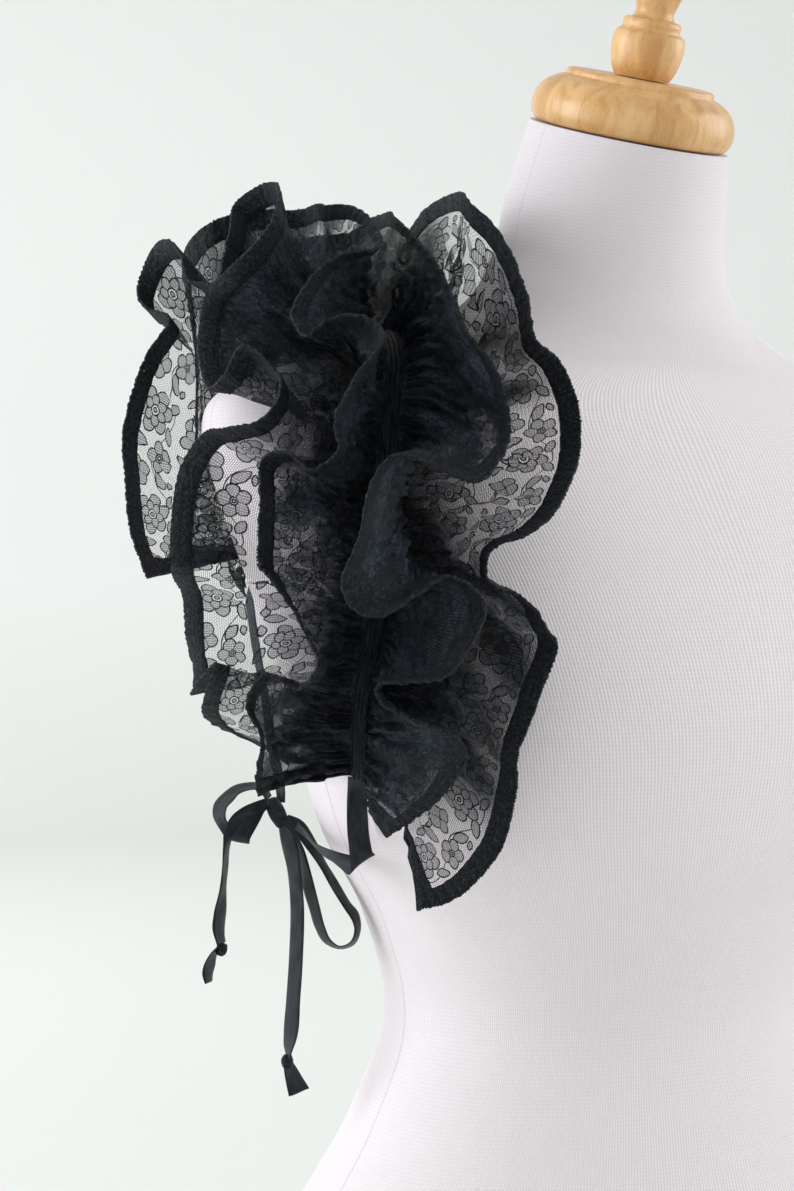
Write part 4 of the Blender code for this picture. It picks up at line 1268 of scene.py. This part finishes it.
@dataclass
class LaceStrip:
    """One strip of lace, 0.2 m wide, gathered along its middle so that it stands in two frills."""

    name: str
    line: GatherLine
    folds: dict[Side, tuple[Fold, ...]]
    closings: dict[Side, tuple[Closing, ...]]
    cut: tuple[float, float]  # its finished width and length on the flat
    lift: float
    root_deg: float  # how steeply it leaves the casing
    seed: int
    rows: int = 1000
    net_columns: int = 22
    hem_columns: int = 3
    clearance: float = 2.2 * MM
    least_clearance: float = 1.8 * MM
    hem_width: float = 10.5 * MM
    hem_wall: float = 1.3 * MM
    pucker: float = 0.4 * MM
    frayed: float = 0.4 * MM
    hem_line_steps: int = 60  # for each turn of the hem
    crowding: float = 1.25  # over 1, it draws the columns towards the casing
    fade: tuple[float, float] = (0.6, 0.9)  # where the gathers fade, as shares of the way out
    left_at_hem: float = 0.08  # how much of them is left there
    puckered: tuple[float, float] = (0.8, 0.92)  # where the hem's puckers grow
    pucker_slant: float = 0.02
    edge_share: float = 0.99  # what lies further out is the hem's own edge
    root_reach: float = 0.42  # how far out the closing by the casing reaches
    evenly_closed: float = 0.9
    closing_slant: float = 0.1
    most_closed: float = 0.97

    def __post_init__(self) -> None:
        """Works out how wide a frill is on the flat cloth, and where its hem begins."""
        self.flat_reach = self.cut[0] / 2 - ROOT_SIDEWAYS
        self.hem_from = 1 - self.hem_width / self.flat_reach
        self.columns = self.net_columns + self.hem_columns

    def hem_line(self, folds: tuple[Fold, ...]) -> np.ndarray:
        """The hem at equal steps of cloth.

        Args:
            folds: The hem's turns.

        Returns:
            Rows of distance along, angle raised, and reach, in metres and radians.
        """
        turns = np.array([(fold.along_mm * MM, math.radians(fold.raised_deg), fold.reach_mm * MM)
                          for fold in folds])
        fine = smooth_line(self.hem_lengths(turns), turns, self.hem_line_steps * len(folds))
        to = self.hem_lengths(fine)
        return read_off(np.linspace(0, to[-1], self.rows), to, fine)

    @staticmethod
    def hem_lengths(rows: np.ndarray) -> np.ndarray:
        """The length of hem as far as each row of distance along, angle raised, and reach."""
        along, raised, reach = rows.T
        return lengths_along(np.stack([along, raised * reach, reach], axis=1))

    def frill(self, side: Side) -> np.ndarray:
        """The frill's points, from the casing's edge out to the hem in each row.

        Args:
            side: Which frill.

        Returns:
            A grid of points.
        """
        along, raised, reach = self.hem_line(self.folds[side]).T[:, :, None]
        share = self.shares()[None]
        root_along = np.linspace(0, self.line.length, self.rows)[:, None]
        root_raised = math.radians(self.root_deg)
        turn = root_raised + (raised - root_raised) * np.sqrt(share)
        out = reach * share
        points = self.line.place(root_along + (along - root_along) * share,
                                 side.value * (ROOT_SIDEWAYS + out * np.cos(turn)),
                                 self.lift + out * np.sin(turn))
        for row in points:
            for column in range(1, self.columns):
                row[column] = self.line.clear(row[column], self.clearance)
        return points

    def shares(self) -> np.ndarray:
        """How far out each column of a frill is, closer together near the casing."""
        net = np.linspace(0, 1, self.net_columns) ** self.crowding * self.hem_from
        return np.concatenate([net, np.linspace(self.hem_from, 1, self.hem_columns + 1)[1:]])

    def crimp(self, points: np.ndarray, side: Side) -> np.ndarray:
        """The frill with its fine gathers, which fade towards the hem, and the hem's puckers.

        Args:
            points: The frill's points.
            side: Which frill it is.

        Returns:
            The points, moved along the cloth's normals.
        """
        cloth = np.linspace(0, 1, self.rows)[:, None]
        share = self.shares()[None]
        height = np.zeros((self.rows, self.columns))
        for pleats in PLEATS:
            seed = self.seed + pleats.seed * (3 + side.value)  # no two frills are alike
            phase = GATHER_DRIFT.at(cloth, seed) + GATHER_FAN.at(share + cloth, seed)
            swell = 1 - GATHER_SWELL.height + GATHER_SWELL.at(cloth, seed)
            envelope = share / pleats.deepest_at * np.exp(1 - share / pleats.deepest_at)
            height += (pleats.deep_mm * MM * swell * envelope
                       * np.sin(2 * math.pi * pleats.count * cloth + phase))
        seed = self.seed + side.value
        height *= 1 - (1 - self.left_at_hem) * ramp(share, *self.fade)
        height += ramp(share, *self.puckered) * self.pucker * (
            PUCKER.at(cloth, seed) + CRINKLE.at(cloth + self.pucker_slant * share, seed))
        out = np.gradient(points, axis=1)
        out /= np.linalg.norm(out, axis=2, keepdims=True)
        ragged = self.frayed * FRAY.at(cloth, seed) * (share > self.edge_share)
        return points + height[..., None] * grid_normals(points) + ragged[..., None] * out

    def grid(self) -> np.ndarray:
        """The whole strip, clear of the form: arm-side hem, casing, neck-side hem.

        Returns:
            A grid of points, one row for each step along the cloth.
        """
        arm = self.crimp(self.frill(Side.ARM), Side.ARM)[:, ::-1]
        neck = self.crimp(self.frill(Side.NECK), Side.NECK)
        points = np.concatenate([arm, neck], axis=1)
        for row in points:
            for column, point in enumerate(row):
                row[column] = self.line.clear(point, self.least_clearance)
        return points

    def flat(self) -> np.ndarray:
        """Where each point of the strip lies on the flat cloth.

        Returns:
            Distances along and across it, for each point of the grid.
        """
        out = ROOT_SIDEWAYS + self.shares() * self.flat_reach
        across = self.cut[0] / 2 + np.concatenate([-out[::-1], out])
        along = np.linspace(0, self.cut[1], self.rows)
        return np.stack(np.meshgrid(along, across, indexing="ij"), axis=-1)

    def build(self, lace: Material, folded: Material) -> Object:
        """The net and its hem.

        Args:
            lace: The net's material.
            folded: The hem's material.

        Returns:
            The net.
        """
        points, flat = self.grid(), self.flat()
        rows, columns = points.shape[:2]
        inset = np.minimum(flat, np.array([self.cut[1], self.cut[0]]) - flat)
        from_edge = inset.min(axis=2)
        near = (from_edge[:-1, :-1] + from_edge[1:, 1:]) / 2
        net = make_piece(f"{self.name}_net", points, grid_faces(rows, columns), lace, Slot.LACE,
                         flat)
        closed = net.data.attributes.new(GATHERED, "FLOAT", "POINT")
        closed.data.foreach_set("value", self.gathered().astype(np.float32).ravel())
        hem = make_piece(f"{self.name}_hem", points,
                         grid_faces(rows, columns, near < self.hem_width), folded, Slot.LACE,
                         flat)
        drop_loose(hem)
        thicken(hem, self.hem_wall)
        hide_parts(*(f"lace_{self.name}_{side.name.lower()}" for side in Side))
        return net

    def gathered(self) -> np.ndarray:
        """How far the net is closed up at each point by gathers and small pleats, from 0 to 1.

        Returns:
            A value for each point of the grid.
        """
        share = self.shares()[None]
        cloth = np.linspace(0, 1, self.rows)[:, None]
        frills = {}
        for side in Side:
            keys, closed, by_casing = np.array(self.closings[side]).T
            pleated, root = (np.interp(cloth * self.cut[1] / MM, keys, values)
                             for values in (closed, by_casing))
            uneven = CLOSING.at(cloth + self.closing_slant * share, self.seed + side.value)
            frills[side] = (root * np.exp(-(share / self.root_reach) ** 2)
                            + pleated * (self.evenly_closed + uneven))
        both = np.concatenate([frills[Side.ARM][:, ::-1], frills[Side.NECK]], axis=1)
        return np.clip(both, 0, self.most_closed)


@dataclass
class Casing:
    """The narrow satin band over the gathers, crushed into lengthwise creases."""

    line: GatherLine
    rows: int = 420
    columns: int = 19
    wall: float = 0.5 * MM
    crease: float = 0.55 * MM
    creases: float = 3.5  # how many half waves lie between its middle and an edge
    drift: Wave = Wave(0.9, 0.03, 3)  # of the creases, in radians
    crush: Wave = Wave(0.5, 0.006, 5)
    crush_slant: float = 0.01
    narrowed: float = 0.08
    width_wave: Wave = Wave(1.0, 0.02, 9)

    def build(self, satin: Material) -> Object:
        """The band.

        Args:
            satin: Its material.

        Returns:
            The piece.
        """
        distance = np.linspace(0, self.line.length, self.rows)[:, None]
        share = np.linspace(-1, 1, self.columns)[None]
        creased = np.cos(self.creases * math.pi * share + self.drift.at(distance))
        crushed = self.crush.at(distance + self.crush_slant * share)
        lift = CASING_LIFT + self.crease * (creased + crushed)
        narrow = 1 - self.narrowed * (1 + self.width_wave.at(distance))
        points = self.line.place(distance + 0 * share, share * narrow * CASING_WIDTH / 2, lift)
        flat = np.stack(np.broadcast_arrays(distance, share * CASING_WIDTH / 2), axis=-1)
        band = make_piece("casing_band", points, grid_faces(self.rows, self.columns), satin,
                          Slot.SATIN, flat)
        thicken(band, self.wall)
        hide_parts("casing")
        return band


# ---------------------------------------------------------------- tie ribbon and bow
class RibbonRow(NamedTuple):
    """The two edges of a ribbon beside the bow's centre, and which of them is nearer the front.

    The edges are given to the right and up; toward is the ribbon's middle. The ribbon leans
    just enough between its edges to keep its width: 1 brings the first edge nearer, -1 the second.
    """

    first_right_mm: float
    first_up_mm: float
    second_right_mm: float
    second_up_mm: float
    toward_mm: float
    lean: float


class Knot(NamedTuple):
    """A pulled-tight knot beside the bow's centre: its middle, its size, and its tilt."""

    right_mm: float
    up_mm: float
    toward_mm: float
    width_mm: float
    depth_mm: float
    height_mm: float
    tilt_deg: float


class CasingEnd(Enum):
    """The end of the casing that a ribbon comes out of."""

    FRONT = "front"
    BACK = "back"


class FarEnd(Enum):
    """What a stretch of ribbon ends in."""

    KNOT = "knot"
    OBJECT = "object"


class Route(NamedTuple):
    """A stretch of ribbon: its rows, the CAD nodes it stands for, and what it ends in."""

    name: str
    rows: tuple[RibbonRow, ...]
    node: str
    casing_end: CasingEnd | None
    far_end: FarEnd
    pieces: tuple[str, ...]


RIBBON_FRONT = table(
    RibbonRow,
    (41, 11, 50.5, 11, 70, 0.3), (41, 5.5, 51, 5.5, 69, 0.6), (41.5, -9.5, 52, -9.5, 66, 1),
    (42, -15.5, 53.5, -16.5, 65, 0), (42.5, -24, 54.5, -18, 63, 0), (43.5, -29, 53.5, -19.5, 61, 0),
    (40.5, -28, 45.5, -19.5, 58, 0), (34, -24.5, 36.5, -18, 50, -1), (29, -22.5, 29, -16.5, 43, -1),
    (23, -18.5, 23, -14.5, 31, -1), (16.5, -14, 17.5, -9.5, 18, -0.8), (9, -10, 11.5, -6, 9, -0.3),
)
BOW_LOOP_LEFT = table(
    RibbonRow,
    (-1.5, 3, -0.5, -1.5, 1, 0.3), (-5, 1.5, -3.2, -2.5, 1, 0.15), (-11.5, -1.5, -6.5, -8, 3, 0.5),
    (-17.5, -6.5, -9.5, -13.5, 4.5, 0.5), (-22, -13, -11.5, -17.5, 4, 0),
    (-24, -18, -12.5, -20.5, 0, 0), (-26, -16.5, -15, -19, -4, 0),
    (-29.5, -12.5, -21, -13.5, -6, -0.7), (-32.5, -6.5, -25, -7, -7, -1),
    (-32, -1, -24.5, -2, -8, -1), (-27.5, 4.5, -21, 2, -8, -1), (-21, 9, -18, 5.5, -8, -1),
    (-14.5, 10.5, -13.5, 7.5, -7, -1), (-8, 10.5, -8, 8, -5, -1), (-3.5, 8, -5, 5.5, -3, -1),
    (-1, 4, -3, 2.5, -2, -1),
)
BOW_LOOP_RIGHT = table(
    RibbonRow,
    (4.5, -9.5, 8.5, -5, 3, 0.3), (11.5, -14.5, 15.5, -8, 4, 0.5), (18.5, -22, 22, -17.5, 5, 0.8),
    (25, -30.5, 27.5, -29, 6, 1), (31.5, -42, 34.5, -40.5, 6, 1), (38, -52.5, 41, -51.5, 6, 1),
    (42.5, -59.5, 45.5, -57.5, 6, 1), (43.5, -65, 46.5, -65.5, 5, 1), (41, -71, 43, -74, 4, 1),
    (35.5, -73, 35, -76.5, 3, 1), (31, -70, 27.5, -73.5, 2, 1), (27.5, -62.5, 22, -64.5, 1, 1),
    (25.5, -55, 19.5, -56.5, 0, 1), (22.5, -44, 16, -46, -3, 1), (19.5, -33.5, 13.5, -35, -6, 1),
    (16, -23, 10.5, -24.5, -8, 0.8), (11, -14, 7, -16, -5, 0.4),
)
TAIL_SHORT = table(
    RibbonRow,
    (-3.5, 4, -2.5, -1, 4.5, 0.2), (-8.5, 2.5, -5.5, -2.5, 7.5, 0.3), (-14, 0.5, -10, -4, 11, 0.6),
    (-19.5, -3.5, -15, -7.5, 13, 0.8), (-23.5, -10.5, -19, -12.5, 13, 1),
    (-24.5, -20, -22, -20.5, 11, 1), (-25, -31.5, -23, -31.5, 11, 1), (-26.5, -43, -24, -42, 11, 1),
    (-29.5, -55.5, -24, -54.5, 11, 1), (-30, -64, -25, -64, 10, 1), (-28.5, -69, -25, -68.5, 10, 1),
    (-27.5, -72, -24.5, -71.5, 10, 1),
)
TAIL_LONG = table(
    RibbonRow,
    (2.5, -6, 6.5, -8, 0, -0.3), (4, -18, 12.5, -18, 1, -1), (7.5, -35, 15, -35, -2, -1),
    (9, -54.5, 16.5, -54.5, -5, -1), (8.5, -78.5, 16, -78.5, -5, -1),
    (7, -102.5, 14.5, -102.5, -5, -1), (5.5, -123, 12.5, -124, -5, -1),
    (5.5, -129.5, 10, -131, -5, -1), (6.5, -134, 9, -134.5, -5, -1),
)
TAIL_SHORT_END = table(
    RibbonRow,
    (-27.5, -72, -28.5, -76, 10, 1), (-31, -75.5, -29.5, -80, 10, 1),
    (-34.5, -81.5, -30, -84, 10, 1), (-35.5, -86, -31, -87.5, 10, 1),
    (-34, -91.5, -31.5, -92, 10, 1),
)
TAIL_LONG_END = table(
    RibbonRow,
    (6, -138, 9.5, -137.5, -5, 1), (6.5, -142, 12, -141, -5, 1), (7.5, -148.5, 15.5, -146.5, -5, 1),
    (8.5, -154.5, 19, -151.5, -5, 1),
)
RIBBON_BACK = table(
    RibbonRow,
    (-17, 110, -12, 110, -26, -1), (-13, 84, -8, 84, -22, -1), (-7, 54, -2, 54, -14, -1),
    (-3, 26, 3, 26, -11, -1), (0.5, 11, 6, 11, -9, -0.8), (2.5, 0, 6.5, 0, -2, -0.1),
)
KNOTS = {
    "bow_knot": Knot(2.5, -4, 1, 9, 9, 17, 24),
    "tail_short_knot": Knot(-26, -74.5, 10, 6, 6, 7, -20),
    "tail_long_knot": Knot(7.5, -136.5, -5, 6.5, 6, 7.5, 0),
}
ENDS = {"tail_short_end": TAIL_SHORT_END, "tail_long_end": TAIL_LONG_END}
ROUTES = (
    Route("tie_front", RIBBON_FRONT, "ribbon_front", CasingEnd.FRONT, FarEnd.KNOT, ("bow_knot",)),
    Route("tie_back", RIBBON_BACK, "ribbon_back", CasingEnd.BACK, FarEnd.OBJECT, ()),
    Route("bow_left", BOW_LOOP_LEFT, "bow_loop_left", None, FarEnd.OBJECT, ()),
    Route("bow_right", BOW_LOOP_RIGHT, "bow_loop_right", None, FarEnd.OBJECT, ()),
    Route("tail_a", TAIL_SHORT, "tail_short", None, FarEnd.KNOT,
          ("tail_short_knot", "tail_short_end")),
    Route("tail_b", TAIL_LONG, "tail_long", None, FarEnd.KNOT,
          ("tail_long_knot", "tail_long_end")),
)


@dataclass
class TieRibbon:
    """The satin ribbon from the casing's two ends, tied in a bow with two knotted tails."""

    line: GatherLine
    satin: Material
    width: float = 12 * MM
    wall: float = 0.45 * MM
    step: float = 1.2 * MM
    columns: int = 7
    crown: float = 0.5 * MM
    centre: Vector = Vector((-0.1900, 0.0405, 0.3595))
    right: Vector = Vector((0.852, -0.524, 0.0)).normalized()
    toward: Vector = Vector((-0.524, -0.852, 0.0)).normalized()
    crown_share: float = 0.5  # how crowned it is before the wave adds to it
    crown_wave: Wave = Wave(1.0, 0.03, 41)
    sewn_in: float = 4 * MM
    joined_every: int = 6  # steps between the pairs of edge points that a joined line keeps
    knot_rings: int = 40
    knot_sides: int = 48
    knot_square: float = 0.72
    wraps: float = 2.5
    wrap_depth: float = 0.1
    wrap_slant: float = 0.5
    wrap_start: float = 0.6
    wrap_sharpness: int = 3
    ripple: float = 0.03
    ripples: tuple[int, int] = (5, 3)  # round the knot, and up it

    def place(self, right_mm: np.ndarray, up_mm: np.ndarray, toward_mm: np.ndarray) -> np.ndarray:
        """The places in the room of points given beside the bow's centre.

        Args:
            right_mm: How far they are to the right of it.
            up_mm: How far above it.
            toward_mm: How far in front of it.

        Returns:
            The points.
        """
        shape = np.broadcast_arrays(right_mm, up_mm, toward_mm)
        axes = (self.right, Vector((0, 0, 1)), self.toward)
        return np.array(self.centre) + sum(values[..., None] * MM * np.array(axis)
                                           for values, axis in zip(shape, axes))

    def edges(self, rows: tuple[RibbonRow, ...], end: CasingEnd | None = None) -> np.ndarray:
        """Pairs of edge points along a smooth line through a ribbon's rows.

        Args:
            rows: The ribbon's rows.
            end: Which end of the casing it starts from, or None.

        Returns:
            A grid of two columns of points.
        """
        places = np.array(rows, float)
        first, second = places[:, :2], places[:, 2:4]
        middles = np.column_stack([(first + second) / 2, places[:, 4]])
        keys = lengths_along(middles)
        fine = smooth_line(keys, places, round(keys[-1] * MM / self.step))
        seen = np.hypot(fine[:, 2] - fine[:, 0], fine[:, 3] - fine[:, 1])
        nearer = fine[:, 5] * np.sqrt(np.maximum((self.width / MM) ** 2 - seen ** 2, 0)) / 2
        pairs = np.stack([self.place(fine[:, 0], fine[:, 1], fine[:, 4] + nearer),
                          self.place(fine[:, 2], fine[:, 3], fine[:, 4] - nearer)], axis=1)
        if end is None:
            return pairs
        way, opening = (1, self.line.length) if end is CasingEnd.BACK else (-1, 0.0)
        start = self.line.place(opening + way * np.array([[0.0], [self.sewn_in]]),
                                np.array([[1.0, -1.0]]) * way * self.width / 2, CASING_LIFT)
        joined = np.concatenate([start, pairs])
        to = lengths_along(joined.mean(axis=1))
        kept = to[::self.joined_every]
        smooth = smooth_line(kept, joined.reshape(len(joined), -1)[::self.joined_every],
                             round(to[-1] / self.step))
        return smooth.reshape(-1, *joined.shape[1:])

    def build_ribbon(self, name: str, edges: np.ndarray) -> tuple[Object, np.ndarray]:
        """A stretch of ribbon, a little crowned between its two edges.

        Args:
            name: The piece's name.
            edges: Its pairs of edge points.

        Returns:
            The piece and its centreline.
        """
        share = np.linspace(0, 1, self.columns)[None, :, None]
        flat_rows = edges[:, :1] * (1 - share) + edges[:, 1:] * share
        middle = edges.mean(axis=1)
        to = lengths_along(middle)
        crown = self.crown * np.sin(math.pi * share[..., 0]) * (
            self.crown_share + self.crown_wave.at(to))[:, None]
        points = flat_rows + crown[..., None] * grid_normals(flat_rows)
        flat = np.stack(np.broadcast_arrays(to[:, None], share[..., 0] * self.width), axis=-1)
        ribbon = make_piece(name, points, grid_faces(*points.shape[:2]), self.satin, Slot.SATIN,
                            flat)
        thicken(ribbon, self.wall)
        return ribbon, middle

    def build_knot(self, name: str, knot: Knot) -> Object:
        """A knot: a rounded lump with the ribbon's wraps creased round it.

        Args:
            name: The CAD node that it stands for.
            knot: Its place and size.

        Returns:
            The piece.
        """
        rise = np.linspace(-0.5, 0.5, self.knot_rings + 2)[1:-1, None] * math.pi
        turn = np.linspace(0, 2 * math.pi, self.knot_sides, endpoint=False)[None]
        slant = self.wrap_slant * np.cos(turn + self.wrap_start)
        crease = np.abs(np.sin(self.wraps * rise + slant)) ** self.wrap_sharpness
        ripple = np.sin(self.ripples[0] * turn + self.ripples[1] * rise)
        grown = (1 - self.wrap_depth * crease) * (1 + self.ripple * ripple)
        round_up, level, side, front = (squared_off(values, self.knot_square) for values in (
            np.sin(rise), np.cos(rise), np.cos(turn), np.sin(turn)))
        across = grown * level * side * knot.width_mm / 2
        toward = grown * level * front * knot.depth_mm / 2
        up = round_up * knot.height_mm / 2
        tilt = math.radians(knot.tilt_deg)
        points = self.place(knot.right_mm + across * math.cos(tilt) - up * math.sin(tilt),
                            knot.up_mm + across * math.sin(tilt) + up * math.cos(tilt),
                            knot.toward_mm + toward)
        flat = np.stack(np.broadcast_arrays(turn * knot.width_mm * MM / 2,
                                            rise * knot.height_mm * MM / 2), axis=-1)
        piece = make_piece(f"{name}_lump", points, ring_faces(self.knot_rings, self.knot_sides),
                           self.satin, Slot.SATIN, flat)
        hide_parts(name)
        return piece

    def build(self) -> None:
        """The knots, the cut ends beyond them, and the ribbon's stretches."""
        pieces = {name: self.build_knot(name, knot) for name, knot in KNOTS.items()}
        for name, rows in ENDS.items():
            pieces[name], _ = self.build_ribbon(f"{name}_ribbon", self.edges(rows))
            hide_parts(name)
        for route in ROUTES:
            ribbon, path = self.build_ribbon(route.name, self.edges(route.rows, route.casing_end))
            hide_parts(route.node)


# ---------------------------------------------------------------- studio
class Lamp(NamedTuple):
    """A soft square lamp: where it is, its size across, its power, its colour and its aim."""

    name: str
    place: Vector
    across: float
    power: float
    colour: str
    aim: Vector


CHEST = Vector((-0.1, 0.0, 0.45))


@dataclass
class Studio:
    """The camera at chest height before the form's right shoulder, soft light and a pale floor."""

    eye: Vector = Vector((-0.687, -0.893, 0.47))
    look: Vector = Vector((0.524, 0.852, 0.0)).normalized()
    lens_mm: float = 60.45
    film_mm: float = 36.0
    floor_rings: tuple[float, ...] = (0.4, 1.6)
    floor_flat: float = 2.8
    floor_bend: float = 1.3
    floor_sides: int = 96
    bend_rings: int = 24
    wall_top: float = 4.0
    paint: MattPaint = MattPaint()
    sky: str = "#f4f4f1"
    sky_strength: float = 0.64
    lamps: tuple[Lamp, ...] = (
        Lamp("window", Vector((-2.2, 0.9, 1.0)), 1.8, 44.0, "#f8faff", CHEST),
        Lamp("room", Vector((2.0, -0.9, 1.2)), 1.8, 27.5, "#f8faff", CHEST),
        Lamp("front", Vector((-1.2, -2.2, 1.6)), 1.6, 5.0, "#ffffff", CHEST),
        Lamp("wall", Vector((-0.4, 1.8, 2.0)), 1.6, 17.0, "#fdfffe", Vector((0.9, 3.7, 0.0))),
    )

    def place_camera(self) -> None:
        """A level camera, whose frame is taller than it is wide."""
        data = bpy.data.cameras.new("camera")
        data.sensor_fit = "VERTICAL"
        data.sensor_height = self.film_mm
        data.lens = self.lens_mm
        camera = bpy.data.objects.new("camera", data)
        camera.location = self.eye
        camera.rotation_euler = self.look.to_track_quat("-Z", "Y").to_euler()
        bpy.context.scene.collection.objects.link(camera)
        bpy.context.scene.camera = camera

    def build_floor(self) -> None:
        """A round floor that bends up all round, so that no horizon shows."""
        bend = np.linspace(0, math.pi / 2, self.bend_rings)
        radii = np.array([*self.floor_rings, *(self.floor_flat + self.floor_bend * np.sin(bend)),
                          self.floor_flat + self.floor_bend])
        heights = np.array([*(0.0 for _ in self.floor_rings),
                            *(self.floor_bend * (1 - np.cos(bend))), self.wall_top])
        points = spun(heights, radii, self.floor_sides)
        faces = ring_faces(len(radii), self.floor_sides, capped=False)
        make_piece("floor", points, faces, self.paint.material())

    def place_lamps(self) -> None:
        """The soft lamps, and the even light of the room."""
        for lamp in self.lamps:
            data = bpy.data.lights.new(lamp.name, "AREA")
            data.size = lamp.across
            data.energy = lamp.power
            data.color = linear(lamp.colour)[:3]
            light = bpy.data.objects.new(lamp.name, data)
            light.location = lamp.place
            light.rotation_euler = (lamp.aim - lamp.place).to_track_quat("-Z", "Y").to_euler()
            bpy.context.scene.collection.objects.link(light)
        world = bpy.data.worlds.new("room")
        world.use_nodes = True
        background = world.node_tree.nodes["Background"]
        background.inputs["Color"].default_value = linear(self.sky)
        background.inputs["Strength"].default_value = self.sky_strength
        bpy.context.scene.world = world
        bpy.context.scene.view_settings.view_transform = "Standard"


def main() -> None:
    """Builds the studio, the ribbons, the lace and the form, in that order."""
    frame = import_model()
    studio = Studio()
    studio.place_camera()
    line = GatherLine(frame["nodes"]["form_torso"])
    satin = PolyesterSatin().material()
    TieRibbon(line, satin).build()
    lace, folded = FloralLace().material(), FoldedLaceHem().material()
    strips = (
        LaceStrip("under", line, {Side.NECK: UNDER_NECK_FOLDS, Side.ARM: UNDER_ARM_FOLDS},
                  {Side.NECK: UNDER_NECK_CLOSING, Side.ARM: UNDER_ARM_CLOSING},
                  cut=(0.2, 0.95), lift=UNDER_LIFT, root_deg=18.0, seed=100),
        LaceStrip("upper", line, {Side.NECK: UPPER_NECK_FOLDS, Side.ARM: UPPER_ARM_FOLDS},
                  {Side.NECK: UPPER_NECK_CLOSING, Side.ARM: UPPER_ARM_CLOSING},
                  cut=(0.2, 0.93), lift=UPPER_LIFT, root_deg=66.0, seed=200),
    )
    for strip in strips:
        LOG.info("lace: %s", strip.build(lace, folded).name)
    LOG.info("casing: %s", Casing(line).build(satin).name)
    DressForm().build()
    studio.build_floor()
    studio.place_lamps()


if __name__ == "__main__":
    logging.basicConfig(level=logging.INFO, format="%(message)s")
    main()
